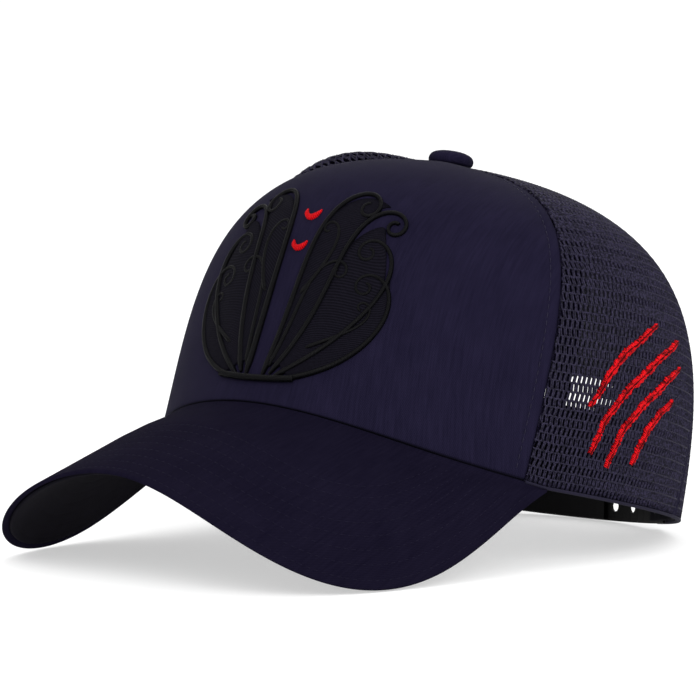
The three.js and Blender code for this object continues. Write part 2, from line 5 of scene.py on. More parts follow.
import bpy
import numpy as np
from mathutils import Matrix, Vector


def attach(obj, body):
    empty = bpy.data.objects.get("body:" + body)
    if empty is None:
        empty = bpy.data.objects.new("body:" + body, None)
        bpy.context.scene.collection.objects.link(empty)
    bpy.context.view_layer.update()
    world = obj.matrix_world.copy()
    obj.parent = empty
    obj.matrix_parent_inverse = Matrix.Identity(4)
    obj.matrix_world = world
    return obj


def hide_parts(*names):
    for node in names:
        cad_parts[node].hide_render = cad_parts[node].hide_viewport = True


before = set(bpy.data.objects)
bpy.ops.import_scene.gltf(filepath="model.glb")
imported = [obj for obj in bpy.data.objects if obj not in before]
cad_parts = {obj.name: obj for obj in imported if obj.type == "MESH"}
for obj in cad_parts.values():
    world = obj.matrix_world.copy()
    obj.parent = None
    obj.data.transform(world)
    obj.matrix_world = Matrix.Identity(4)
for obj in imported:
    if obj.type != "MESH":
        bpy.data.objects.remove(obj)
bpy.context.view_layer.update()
bpy.ops.object.select_all(action="DESELECT")

MM = 0.001

# Setting out of the crown, in millimetres and degrees
RIM_HALF_LENGTH = 98.7
RIM_HALF_WIDTH = 92.8
RIM_SQUARENESS = 2.02
CROWN_HEIGHT = 116.0
TOP_SET_FORWARD = 9.3
TIP_BACK = math.radians(12.54)
# Bulge at the rim, height of the wall, reach of the shoulder, fullness of the top
FRONT_PROFILE = np.array((-0.244, 0.582, 0.929, 0.035))
SIDE_PROFILE = np.array((0.149, 0.772, 0.816, -0.072))
BACK_PROFILE = np.array((-0.125, 0.678, 0.639, -0.05))
FRONT_RIDGE_DROP = 1.9
# How the soft net puffs up behind the stiff front: rise in mm, middle and width in degrees
LEFT_SHOULDER = (0.9, 92.0, 26.0)
RIGHT_SHOULDER = (10.2, 83.0, 34.0)
SHOULDER_START, SHOULDER_FULL = -3.5, 7.0
# Powers of s and of what is left above it, for the net's puff and for the front's ridge
PUFF_POWERS = (5.0, 1.75)
RIDGE_POWERS = (8.0, 2.0)
# The seated cap is moved so that its box is centred over the origin
CENTRING = np.array((-0.7372, 32.6385, 0.0))

# Panels: s runs from 0 at the rim to 1 at the top, angles go round from the front
FRONT_SEAM = (64.4, 74.8, 1.06)
PANEL_TOP = 0.981
SEAM_GAP = 0.3
FRONT_THICK = 2.4
NET_THICK = 1.0
SIDE_TAPE = (119.0, 124.0)
TAPE_HALF_WIDTH = 3.5
TAPE_TOP_HALF_ANGLE = 17.0
ARCH_HALF_ANGLE = 25.5
ARCH_TOP = 0.27

# Peak
PEAK_CORNER = math.radians(69.3)
PEAK_SLOPE = math.tan(math.radians(29.1))
PEAK_BEND_RADIUS = 90.3
PEAK_BEND_GAIN = 0.261
PEAK_HALF_WIDTH = 87.6
PEAK_LENGTH = 61.4
PEAK_WIDEST_Y = -49.6
PEAK_EDGE_POWERS = (0.639, 0.734)
PEAK_CORNER_PULL = 0.503
PEAK_TOP_THICK = 1.5
PEAK_GAP = 0.3
PEAK_UNDER_THICK = 1.2
PEAK_THICK = PEAK_TOP_THICK + PEAK_GAP + PEAK_UNDER_THICK

# Net: pitch of its wales and rows, and its threads
WALE_PITCH = 1.95
ROW_PITCH = 3.2
PILLAR_HEIGHT = 1.9
PILLAR_OFFSET = 0.26
PILLAR_LEANS = (-0.06, 0.3)
NET_THREAD = 0.36
LAID_THREAD = 0.425
# The knit is deeper than its threads are wide
NET_DEEPENING = 2.15
# Each net panel is cut from a flat sheet of this width, laid on about a middle line
NET_SHEET_WIDTH = 112
SIDE_NET_MIDDLE = math.radians(94)
REAR_NET_MIDDLE = math.radians(151)


# The cap's surfaces, as in the solid model


def smooth(value, low, high):
    t = np.clip((value - low) / (high - low), 0, 1)
    return t * t * (3 - 2 * t)


def mix(a, b, t):
    return a + (b - a) * t


def bell(distance, width):
    return np.exp(-((distance / width) ** 2))


def wave(run, pitch):
    return np.sin(2 * math.pi * run / pitch)


def alike(*values):
    """The values as arrays of one shape"""
    return np.broadcast_arrays(*(np.asarray(value, float) for value in values))


def read_at(places, run, *tables):
    return [np.interp(places, run, table) for table in tables]


def rim_plan(angle):
    across, along = np.sin(angle), np.cos(angle)
    n = RIM_SQUARENESS
    reach = (np.abs(across / RIM_HALF_WIDTH) ** n + np.abs(along / RIM_HALF_LENGTH) ** n) ** (-1 / n)
    return reach * across, -reach * along


def peak_sag(x, y):
    limit = 0.96 * PEAK_BEND_RADIUS
    inside = np.minimum(np.abs(x), limit)
    root = np.sqrt(PEAK_BEND_RADIUS**2 - inside**2)
    sag = PEAK_BEND_RADIUS - root + (np.abs(x) - inside) * inside / root
    return sag * (1 + PEAK_BEND_GAIN * np.clip((-y - RIM_HALF_LENGTH) / 70, -1.5, 1.5))


CORNER_X, CORNER_Y = rim_plan(PEAK_CORNER)
PEAK_FRONT_Z = peak_sag(CORNER_X, CORNER_Y) - PEAK_SLOPE * (CORNER_Y + RIM_HALF_LENGTH)


def peak_z(x, y):
    return PEAK_FRONT_Z + PEAK_SLOPE * (y + RIM_HALF_LENGTH) - peak_sag(x, y)


def turn_from_front(angle):
    return np.arccos(np.clip(np.cos(angle), -1, 1))


def rim_z(angle):
    x, y = rim_plan(angle)
    return np.where(turn_from_front(angle) < PEAK_CORNER, peak_z(x, y), 0.0)


def seam_angle(s):
    rim, top, bend = FRONT_SEAM
    return np.radians(rim + (top - rim) * np.maximum(s, 0) ** bend)


def hump(s, below, above):
    """A hump along s with its top at 1, where s is its share of the two powers"""
    peak = below / (below + above)
    return (s / peak) ** below * ((1 - s) / (1 - peak)) ** above


def crown_point(angle, s):
    angle, s = alike(angle, s)
    x, y = rim_plan(angle)
    forward = (np.cos(angle) ** 2)[..., None]
    end = np.where((np.cos(angle) > 0)[..., None], FRONT_PROFILE, BACK_PROFILE)
    bulge, wall, shoulder, top = np.moveaxis(end * forward + SIDE_PROFILE * (1 - forward), -1, 0)
    b1 = 3 * s * (1 - s) ** 2
    b2 = 3 * s * s * (1 - s)
    rise = b1 * wall + b2 * (1 + top) + s**3
    turn = np.degrees(turn_from_front(angle))
    right = (np.sin(angle) < 0)[..., None]
    puff, middle, width = np.moveaxis(np.where(right, RIGHT_SHOULDER, LEFT_SHOULDER), -1, 0)
    behind = smooth(turn - np.degrees(seam_angle(s)), SHOULDER_START, SHOULDER_FULL)
    lift = puff * bell(turn - middle, width) * behind * hump(s, *PUFF_POWERS)
    drop = FRONT_RIDGE_DROP * bell(turn, 42) * hump(s, *RIDGE_POWERS)
    reach = (1 - s) ** 3 + b1 * (1 + bulge) + b2 * shoulder
    wide = reach + 0.5 * lift / 90
    rim_left = rim_z(angle) * np.maximum(0, 1 - rise) ** 1.5
    height = rim_left + CROWN_HEIGHT * rise + lift - drop
    return np.stack((x * wide, y * wide - TOP_SET_FORWARD * (1 - reach), height), -1)


def crown_slopes(angle, s):
    h = 0.002
    s = np.asarray(s, float)
    low, high = np.maximum(0, s - h), np.minimum(1, s + h)
    across = (crown_point(angle + h, s) - crown_point(angle - h, s)) / (2 * h)
    up = (crown_point(angle, high) - crown_point(angle, low)) / (high - low)[..., None]
    return across, up


def unit(vectors):
    return vectors / np.linalg.norm(vectors, axis=-1, keepdims=True)


def wall_point(angle, s, depth):
    """A point under the crown's surface, above it where depth is negative"""
    angle, s, depth = alike(angle, s, depth)
    across, up = crown_slopes(angle, np.maximum(s, 0))
    normal = unit(np.cross(across, up))
    levelled = normal.copy()
    levelled[..., 2] *= smooth(s, 0, 0.08)
    levelled = unit(levelled)
    along = (levelled * normal).sum(-1)
    return crown_point(angle, s) - levelled * (depth / along)[..., None]


def lengths_along(line):
    """Length from the start of a line to each of its points"""
    steps = np.linalg.norm(np.diff(line, axis=0), axis=1)
    return np.concatenate(([0], np.cumsum(steps)))


HEIGHT_STEPS = np.linspace(0, 1, 251)


def s_at_height(angle, height):
    """The value of s at a height in mm measured up the wall"""
    angle = np.atleast_1d(np.asarray(angle, float))
    height = np.broadcast_to(np.asarray(height, float), angle.shape)
    kinds, which = np.unique(np.round(angle, 4), return_inverse=True)
    out = np.empty(angle.shape)
    for k, kind in enumerate(kinds):
        run = lengths_along(crown_point(kind, HEIGHT_STEPS))
        out[which == k] = np.interp(height[which == k], run, HEIGHT_STEPS)
    return out


def radius_at(s):
    return crown_point(math.pi / 2, s)[..., 0]


def seated(points):
    """From the level crown in mm to the cap as it rests, in metres"""
    x, y, z = points[..., 0], points[..., 1], points[..., 2]
    c, k = math.cos(TIP_BACK), math.sin(TIP_BACK)
    rested = np.stack((x, y * c + z * k, z * c - y * k + RIM_HALF_LENGTH * k), -1)
    return (rested + CENTRING) * MM


def tape_half_angle(s):
    return np.minimum(TAPE_HALF_WIDTH / radius_at(s), math.radians(TAPE_TOP_HALF_ANGLE))


def side_tape_angle(s):
    return np.radians(mix(*SIDE_TAPE, s))


def gap_angle(s):
    return 0.5 * SEAM_GAP / radius_at(s)


# Making meshes


def only(piece):
    bpy.ops.object.select_all(action="DESELECT")
    piece.select_set(True)
    bpy.context.view_layer.objects.active = piece


def just_made(name):
    piece = bpy.context.object
    piece.name = piece.data.name = name
    return piece


def start_edit():
    bpy.ops.object.mode_set(mode="EDIT")


def end_edit():
    bpy.ops.object.mode_set(mode="OBJECT")


def select_all():
    bpy.ops.mesh.select_all(action="SELECT")


def close_smooth():
    """Ends the edit with all faces turned outward and shaded smooth"""
    select_all()
    bpy.ops.mesh.normals_make_consistent(inside=False)
    end_edit()
    bpy.ops.object.shade_smooth()


def corners_of(piece):
    flat = np.empty(len(piece.data.vertices) * 3)
    piece.data.vertices.foreach_get("co", flat)
    return flat.reshape(-1, 3)


def set_corners(piece, points):
    piece.data.vertices.foreach_set("co", np.ascontiguousarray(points, dtype=float).ravel())
    piece.data.update()


def set_chart(piece, chart):
    """Lays the cloth's own plan, in mm, into the piece's UV map"""
    mesh = piece.data
    layer = mesh.uv_layers.active or mesh.uv_layers.new(name="UVMap")
    corner = np.empty(len(mesh.loops), dtype=np.int32)
    mesh.loops.foreach_get("vertex_index", corner)
    layer.data.foreach_set("uv", np.ascontiguousarray(chart[corner], dtype=float).ravel())


def two_faced(name, columns, rows, face, chart):
    """A grid laid on its outer face and drawn out to its inner one, so that it is a closed wall. face gives
    the points of columns and rows, on the inner side or not, and chart gives their plan in mm"""
    bpy.ops.mesh.primitive_grid_add(x_subdivisions=columns, y_subdivisions=rows, size=2)
    piece = just_made(name)
    only(piece)
    start_edit()
    bpy.ops.mesh.select_mode(type="VERT")
    select_all()
    bpy.ops.mesh.extrude_region_move(TRANSFORM_OT_translate={"value": (0, 0, 1)})
    end_edit()
    drawn = corners_of(piece)
    i = np.rint((drawn[:, 0] + 1) / 2 * columns).astype(int)
    j = np.rint((drawn[:, 1] + 1) / 2 * rows).astype(int)
    on_top = drawn[:, 2:] > 0.5
    set_chart(piece, np.stack(chart(i, j), -1))
    set_corners(piece, seated(np.where(on_top, face(i, j, False), face(i, j, True))))
    only(piece)
    start_edit()
    close_smooth()
    return piece


def apply(piece, kind, **settings):
    only(piece)
    modifier = piece.modifiers.new(kind.lower(), kind)
    for key, value in settings.items():
        setattr(modifier, key, value)
    bpy.ops.object.modifier_apply(modifier=modifier.name)


def linked(name, data):
    piece = bpy.data.objects.new(name, data)
    bpy.context.collection.objects.link(piece)
    return piece


def from_corners(name, corners, faces):
    mesh = bpy.data.meshes.new(name)
    mesh.from_pydata(corners.tolist(), [], faces)
    return linked(name, mesh)


def swept(name, rings):
    """A closed tube through rings of points, in seated metres"""
    count, size = rings.shape[:2]
    a = (np.arange(count - 1)[:, None] * size + np.arange(size)).ravel()
    b = (np.arange(count - 1)[:, None] * size + (np.arange(size) + 1) % size).ravel()
    faces = np.stack((a, b, b + size, a + size), -1).tolist()
    faces.append(list(range(size))[::-1])
    faces.append([(count - 1) * size + k for k in range(size)])
    return from_corners(name, rings.reshape(-1, 3), faces)


def joined(name, pieces):
    only(pieces[0])
    for piece in pieces:
        piece.select_set(True)
    if len(pieces) > 1:
        bpy.ops.object.join()
    piece = just_made(name)
    start_edit()
    close_smooth()
    return piece


def finished(piece, slot, material, *nodes):
    """Gives a piece its material and hides the solids that it stands for, if any; slot is not used"""
    piece.data.materials.clear()
    piece.data.materials.append(material)
    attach(piece, "root")
    if nodes:
        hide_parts(*nodes)


# Cloth panels of the crown


def fall(distance, radius, depth):
    """How far cloth turns down within a radius of its seam"""
    near = np.clip(1 - distance / radius, 0, 1)
    return depth * (1 - np.sqrt(1 - near**2))


def seam_columns(marks, middle):
    """How many columns a panel has: those at its marks by both seams, and the middle ones"""
    return len(marks) * 2 + middle - 1


def across_panel(i, s, left, right, marks, middle):
    """Angle of column i, and its distance in mm from the left and the right seam"""
    radius = np.maximum(radius_at(s), 1.0)
    wide = (right - left) * radius
    shrink = np.minimum(1, SEAM_SHARE * wide / marks[-1])
    count = len(marks)
    last = seam_columns(marks, middle)
    marks = np.asarray(marks)
    edge = marks[-1] * shrink
    share = (i - (count - 1)) / (last - 2 * (count - 1))
    inner = mix(edge, wide - edge, share)
    from_left = marks[np.clip(i, 0, count - 1)] * shrink
    from_right = wide - marks[np.clip(last - i, 0, count - 1)] * shrink
    distance = np.where(i < count, from_left, np.where(last - i < count, from_right, inner))
    return left + distance / radius, distance, wide - distance


def rows_from_rim(low_marks, wall_length, rows):
    """Values of s: close together at the rim, where marks are given in mm, then even to the top"""
    low = np.array(low_marks) / wall_length
    return np.concatenate((low, np.linspace(low[-1], PANEL_TOP, rows + 1)[1:]))


def upright_panel(name, left, right, thick, marks, middle, s_rows, relief, lift=0.0):
    columns = seam_columns(marks, middle)
    mid = 0.5 * (left(0.3) + right(0.3))
    up_run = lengths_along(crown_point(mid, s_rows))

    def where(i, j):
        s = s_rows[j]
        return (s,) + across_panel(i, s, left(s), right(s), marks, middle)

    def face(i, j, inner):
        s, angle, from_left, from_right = where(i, j)
        depth = thick if inner else relief(angle, s, from_left, from_right, up_run[j]) - lift
        return wall_point(angle, s, depth)

    def chart(i, j):
        s, angle, _, _ = where(i, j)
        return (angle - mid) * radius_at(s), up_run[j]

    return two_faced(name, columns, len(s_rows) - 1, face, chart)


FRONT_STITCH = 4.7
FRONT_MARKS = (0, 0.12, 0.35, 0.7, 1.15, 1.65, 2.2, 3.0, 3.8, 4.2, 4.5, 4.7, 4.9, 5.2, 5.7, 6.6)
TAPE_MARKS = (0, 0.1, 0.3, 0.6, 0.9, 1.1, 1.3, 1.7)
# Greatest share of a narrow panel's width that the marks by one seam take up
SEAM_SHARE = 0.28


def front_relief(angle, s, from_left, from_right, height):
    seam = np.minimum(from_left, from_right)
    down = fall(seam, 2.0, 1.7) + fall(height, 2.0, 1.3)
    down += 0.22 * bell(seam - FRONT_STITCH, 0.55)
    down += 0.07 * wave(height, 3.0) * bell(seam - FRONT_STITCH, 1.6)
    down += 0.16 * np.sin(5 * angle + 1.3) * np.sin(8 * s + 0.6) * smooth(seam, 3, 16)
    return down


def front_panel():
    half = lambda s: seam_angle(s) - gap_angle(s)
    s_rows = rows_from_rim((0, 0.15, 0.4, 0.8, 1.3, 2.0, 3.2), 205, 84)
    return upright_panel("front_cloth", lambda s: -half(s), half, FRONT_THICK, FRONT_MARKS, 96, s_rows,
                         front_relief)


def tape_relief(angle, s, from_left, from_right, height):
    seam = np.minimum(from_left, from_right)
    down = fall(seam, 0.5, 0.45)
    middle = np.abs(from_left - from_right) / 2
    down += 0.25 * bell(middle, 0.35)
    down += 0.12 * bell(seam - 1.1, 0.3)
    down += 0.06 * wave(height, 2.8)
    return down


def tape_over(name, middle, s_rows):
    """A cloth tape over the seam whose angle is given by a function of s"""
    half = lambda s: tape_half_angle(s) - gap_angle(s)
    return upright_panel(name, lambda s: middle(s) - half(s), lambda s: middle(s) + half(s), NET_THICK,
                         TAPE_MARKS, 8, s_rows, tape_relief, 0.25)


def side_tape(name, side):
    return tape_over(name, lambda s: side * side_tape_angle(s), rows_from_rim((0, 0.3, 0.8, 1.6), 260, 90))


def rear_tape():
    rows = np.concatenate(((0, 0.003, 0.008), np.linspace(0.015, 1, 80)))
    return tape_over("rear_tape_cloth", lambda s: math.pi, mix(ARCH_TOP - 0.004, PANEL_TOP, rows))


def inner_seam_tape(name, side):
    """The cloth tape that covers the raw edges inside a front seam"""
    s_rows = np.linspace(0.06, 0.95, 110)
    up_run = lengths_along(crown_point(math.radians(74), s_rows))
    columns = 16

    def face(i, j, inner):
        s = s_rows[j]
        aside = mix(0.2, 9.0, (i if side > 0 else columns - i) / columns)
        swell = 0.5 * np.sin(math.pi * (aside - 0.2) / 8.8) + 0.05 * wave(up_run[j], 3.0)
        clear = smooth(s, 0.15, 0.2)
        depth = 1.6 + 0.15 * clear + inner * (0.5 + clear * (0.4 + swell))
        return wall_point(side * (seam_angle(s) + aside / radius_at(s)), s, depth)

    return two_faced(name, columns, len(s_rows) - 1, face, lambda i, j: (i / 2, up_run[j]))


# The net


def drawn_thread(line, radius, turn):
    """A thread of a five-sided section drawn along points in mm"""
    bpy.ops.mesh.primitive_circle_add(
        vertices=5, radius=radius * MM, location=Vector(line[0]) * MM, rotation=turn)
    bpy.ops.object.transform_apply(location=True, rotation=True, scale=True)
    start_edit()
    select_all()
    for here, there in zip(line, line[1:]):
        step = (Vector(there) - Vector(here)) * MM
        bpy.ops.mesh.extrude_region_move(TRANSFORM_OT_translate={"value": step})
    end_edit()
    return bpy.context.object


def net_repeat():
    """Two rows of pillars, each of two threads that part to left and right, and the threads laid between"""
    threads = []
    for side in (-1, 1):
        line = []
        for row, lean in enumerate(PILLAR_LEANS):
            middle = PILLAR_OFFSET if row == 0 else WALE_PITCH / 2 - PILLAR_OFFSET
            for end in (-0.5, 0.5):
                line.append((side * middle + lean * end, row * ROW_PITCH + end * PILLAR_HEIGHT, 0.04 * side))
        x, y, z = line[0]
        line.append((x, y + 2 * ROW_PITCH, z))
        threads.append(drawn_thread(line, NET_THREAD, (math.pi / 2, 0, 0)))
    for row in (0, 1):
        y = (row + 0.5) * ROW_PITCH
        x = row * WALE_PITCH / 2
        line = [(x, y - 0.1, 0.05), (x + WALE_PITCH / 2, y + 0.1, -0.05), (x + WALE_PITCH, y - 0.1, 0.05)]
        threads.append(drawn_thread(line, LAID_THREAD, (0, math.pi / 2, 0)))
    return joined("net", threads)


def flat_net(name, wide, tall):
    """The repeat copied over a flat sheet that starts at its lower middle"""
    piece = net_repeat()
    piece.name = piece.data.name = name
    columns = int(wide / WALE_PITCH) + 2
    rows = int(tall / (2 * ROW_PITCH)) + 2
    for count, step in ((columns, (WALE_PITCH * MM, 0, 0)), (rows, (0, 2 * ROW_PITCH * MM, 0))):
        apply(piece, "ARRAY", count=count, use_relative_offset=False, use_constant_offset=True,
              constant_offset_displace=step)
    only(piece)
    start_edit()
    select_all()
    bpy.ops.mesh.remove_doubles(threshold=0.00002)
    end_edit()
    flat = corners_of(piece) / MM
    flat[:, 0] -= columns * WALE_PITCH / 2
    flat[:, 1] -= 0.4 * ROW_PITCH
    return piece, flat


def cut_away(piece, gone):
    only(piece)
    start_edit()
    bpy.ops.mesh.select_mode(type="VERT")
    bpy.ops.mesh.select_all(action="DESELECT")
    end_edit()
    piece.data.vertices.foreach_set("select", gone)
    start_edit()
    bpy.ops.mesh.delete(type="VERT")
    select_all()
    bpy.ops.mesh.fill_holes(sides=5)
    close_smooth()


def net_panel(name, middle, inside):
    """A net cut to its panel and laid on the crown about its middle line"""
    run = lengths_along(crown_point(middle, HEIGHT_STEPS))
    piece, flat = flat_net(name, NET_SHEET_WIDTH, run[-1])
    s = np.clip(np.interp(flat[:, 1], run, HEIGHT_STEPS), 0, 0.985)
    across, _ = crown_slopes(middle, s)
    angle = middle + flat[:, 0] / np.maximum(np.linalg.norm(across, axis=-1), 1.0)
    gone = (flat[:, 1] < -0.3) | (s > PANEL_TOP) | ~inside(angle, s) | (np.abs(angle - middle) > 1.2)
    set_corners(piece, seated(wall_point(angle, s, 0.5 - NET_DEEPENING * flat[:, 2])))
    cut_away(piece, gone)
    return piece


def side_net(name, side):
    def inside(angle, s):
        spare = 0.7 / np.maximum(radius_at(s), 4)
        turn = side * angle
        return (turn > seam_angle(s) - spare) & (turn < side_tape_angle(s) - tape_half_angle(s) + 2 * spare)

    return net_panel(name, side * SIDE_NET_MIDDLE, inside)


def rear_net(name, side):
    def inside(angle, s):
        spare = 1.4 / np.maximum(radius_at(s), 4)
        turn = side * angle
        off = (math.pi - turn) / math.radians(ARCH_HALF_ANGLE)
        off_arch = off**2 + (s / ARCH_TOP) ** 2 > 1
        after = turn > side_tape_angle(s) + tape_half_angle(s) - spare
        before = turn < math.pi - tape_half_angle(s) + spare
        return after & before & off_arch

    return net_panel(name, side * REAR_NET_MIDDLE, inside)


# Rim hem, arch binding and sweatband


def rim_hem(name, side):
    """The net's lower edge, turned up inside and covered by a folded strip of cloth"""
    first, last = 64.0, 180 - ARCH_HALF_ANGLE
    columns, rows = 150, 12
    # Height over the rim and depth behind the crown's surface, from the outer edge round to the inner
    fold = np.array([(0.7, -0.3), (0.6, -0.42), (0.45, -0.5), (0.22, -0.5), (-0.02, -0.42),
                     (-0.28, -0.15), (-0.4, 0.3), (-0.28, 0.8), (0.0, 1.2), (0.5, 1.35), (1.2, 1.35),
                     (2.0, 1.35), (3.0, 1.35)])

    def face(i, j, inner):
        extra = 0.28 if inner else 0.0
        angle = side * np.radians(mix(first, last, (i if side > 0 else columns - i) / columns))
        height, depth = fold[j, 0], fold[j, 1]
        pushed = depth + extra * np.where(depth > 0.3, -1, 1)
        low = height + np.where((j > 4) & (j < 8), extra, 0)
        point = wall_point(angle, s_at_height(angle, np.maximum(low, 0)), pushed)
        point[:, 2] += np.minimum(0, low)
        return point

    return two_faced(name, columns, rows, face, lambda i, j: (i / columns * 145, fold[j, 0]))


def sidestep(angle, s, along_angle, along_s, distance):
    """Angle and s at a distance in mm to the side of a line on the crown"""
    across, up = crown_slopes(angle, np.maximum(s, 0))
    along = unit(across * along_angle[..., None] + up * along_s[..., None])
    normal = unit(np.cross(across, up))
    aside = np.cross(normal, along) * np.asarray(distance)[..., None]
    aa, uu, au = (across**2).sum(-1), (up**2).sum(-1), (across * up).sum(-1)
    da, du = (aside * across).sum(-1), (aside * up).sum(-1)
    det = aa * uu - au * au
    return angle + (da * uu - du * au) / det, s + (du * aa - da * au) / det


def beside_arch(turn, away):
    """Angle and s at a distance in mm outside the edge of the rear arch, at a turn from 0 to pi round it"""
    half = math.radians(ARCH_HALF_ANGLE)
    angle, s = math.pi - half * np.cos(turn), ARCH_TOP * np.sin(turn)
    angle, s = sidestep(angle, s, half * np.sin(turn), ARCH_TOP * np.cos(turn), away)
    return angle, np.maximum(s, 0)


def arch_binding():
    """A tape folded over the edge of the rear arch"""
    columns = 120
    # Distance over the arch's edge and depth behind the crown's surface, from outside round to inside
    fold = np.array([(4.8, -1.05), (4.5, -1.25), (3.6, -1.28), (2.6, -1.22), (1.4, -1.25), (0.2, -1.22),
                     (-0.6, -1.0), (-1.1, -0.4), (-1.25, 0.5), (-1.1, 1.4), (-0.6, 1.95), (0.2, 2.2),
                     (1.4, 2.25), (2.6, 2.2), (3.6, 2.25), (4.5, 2.25), (4.8, 2.1)])
    middle = 0.5

    def face(i, j, inner):
        extra = 0.6 if inner else 0.0
        away, depth = fold[j, 0], fold[j, 1]
        lean = smooth(away, 0.6, -1.2)
        depth = depth + extra * np.where(depth < middle, 1, -1) * (1 - 0.8 * lean)
        away = away + extra * lean
        depth = depth + 0.07 * wave(i, 2.6) * (away > 0.5)
        angle, s = beside_arch(math.pi * i / columns, away)
        return wall_point(angle, s, depth)

    chart = lambda i, j: (i / columns * 128, j * 0.9)
    return two_faced("arch_binding_cloth", columns, len(fold) - 1, face, chart)


BAND_THICK = 1.4
# Height of the row of stitches that holds the band
BAND_STITCH = 3.0


def sweatband_depth(degrees):
    turn = np.abs(degrees)
    front = mix(FRONT_THICK + 0.3, NET_THICK + 0.6, smooth(turn, 70, 86))
    back = mix(NET_THICK + 0.6, 4.05, smooth(turn, 132, 144))
    return np.where(turn < 110, front, back)


def sweatband():
    columns = 300
    heights = np.concatenate(((0.2, 0.5, 1.0, 1.8), np.linspace(3, 27, 14), (28.4, 29.2, 29.7, 30.0)))

    def face(i, j, inner):
        degrees = mix(-152, 152, i / columns)
        angle = np.radians(degrees)
        height = heights[j]
        turned = fall(np.minimum(height - 0.2, 30 - height), 0.8, 0.5)
        depth = sweatband_depth(degrees)
        pucker = 0.12 * wave(i, 3.2) * bell(height - BAND_STITCH, 2)
        depth = depth + BAND_THICK - turned + pucker if inner else depth + turned
        return wall_point(angle, s_at_height(angle, height), depth)

    chart = lambda i, j: (i / columns * 510, heights[j])
    return two_faced("sweatband_cloth", columns, len(heights) - 1, face, chart)


# The peak


def bowed(start, pull, end, t):
    """A quadratic curve"""
    return start * (1 - t) ** 2 + 2 * t * (1 - t) * pull + t * t * end


def peak_edge(count):
    """Half of the outer edge from the middle of the front to the corner, evenly spaced"""
    depth = RIM_HALF_LENGTH + PEAK_LENGTH + PEAK_WIDEST_Y
    turn = math.pi / 2 * np.linspace(0, 1, 401) ** 1.5
    x = PEAK_HALF_WIDTH * np.sin(turn) ** PEAK_EDGE_POWERS[0]
    y = PEAK_WIDEST_Y - depth * np.maximum(0, np.cos(turn)) ** PEAK_EDGE_POWERS[1]
    t = np.linspace(0, 1, 41)[1:]
    pull = PEAK_WIDEST_Y + PEAK_CORNER_PULL * (CORNER_Y - PEAK_WIDEST_Y)
    x = np.concatenate((x, bowed(PEAK_HALF_WIDTH, PEAK_HALF_WIDTH, CORNER_X + 0.5, t)))
    y = np.concatenate((y, bowed(PEAK_WIDEST_Y, pull, CORNER_Y, t)))
    run = lengths_along(np.stack((x, y), -1))
    want = np.linspace(0, run[-1], count + 1)
    return read_at(want, run, x, y)


EDGE_X, EDGE_Y = peak_edge(240)


def peak_normal(x, y):
    h = 0.2
    dx = (peak_z(x + h, y) - peak_z(x - h, y)) / (2 * h)
    dy = (peak_z(x, y + h) - peak_z(x, y - h)) / (2 * h)
    return unit(np.stack((-dx, -dy, np.ones_like(dx)), -1))


def peak_base(t, step):
    """A point of the peak without its thickness, its normal, how thin it runs, and how far its face is
    raised: t from -1 to 1 across, step from -1 inside the crown through 0 at the rim to 1 at the edge"""
    t, step = alike(t, step)
    angle = t * PEAK_CORNER
    plan_x, plan_y = rim_plan(angle)
    share = np.abs(t) * (len(EDGE_X) - 1)
    out_x, out_y = read_at(share, np.arange(len(EDGE_X)), EDGE_X, EDGE_Y)
    taper = 1 - 0.55 * smooth(np.abs(t), 0.84, 1)
    v = np.maximum(0, step)
    x, y = mix(plan_x, np.where(t < 0, -1.0, 1.0) * out_x, v), mix(plan_y, out_y, v)
    rise = smooth(v, 0, 0.35)
    normal = peak_normal(x, y)
    # Sewn up against the crown at the rim, and a little lower just outside it
    sunk = 0.35 * (1 - rise) * smooth(v, 0, 0.02)
    point = np.stack((x, y, peak_z(x, y) - sunk), -1)
    tuck = mix(FRONT_THICK, 0.6, smooth(np.abs(t), 0.45, 0.8))
    inside = wall_point(angle, np.zeros_like(angle), tuck)
    inside[..., 2] = rim_z(angle) + 0.4
    back = np.maximum(0, -step)[..., None]
    point = mix(point, inside, back)
    upright = unit(mix(normal, np.array((0.0, 0.0, 1.0)), (1 - smooth(np.abs(t), 0.4, 0.75))[..., None]))
    normal = unit(mix(normal, upright, back))
    return point, normal, taper, 1.5 * rise * taper


PEAK_STITCH_ROWS = (3.2, 9.0, 14.8, 20.6, 26.4, 32.2, 38.0, 43.8)


def peak_runs(columns):
    """The columns' t, fine steps in from the outer edge, and for each column its distance there in mm"""
    steps = np.linspace(1, 0, 121)
    t = np.linspace(-1, 1, columns + 1)
    line, _, _, _ = peak_base(t[:, None], steps[None, :])
    gone = np.linalg.norm(np.diff(line, axis=1), axis=2)
    run = np.concatenate((np.zeros((columns + 1, 1)), np.cumsum(gone, axis=1)), axis=1)
    edge = unit(np.gradient(line[:, 0], axis=0))
    inward = unit(line[:, 3] - line[:, 0])
    squareness = np.sqrt(np.maximum(0.05, 1 - (edge * inward).sum(-1) ** 2))
    return t, steps, run * squareness[:, None]


def lifted_to_table(piece):
    """Nothing of the peak goes below the table"""
    places = corners_of(piece)
    places[:, 2] = np.maximum(places[:, 2], 0.0)
    set_corners(piece, places)
    return piece


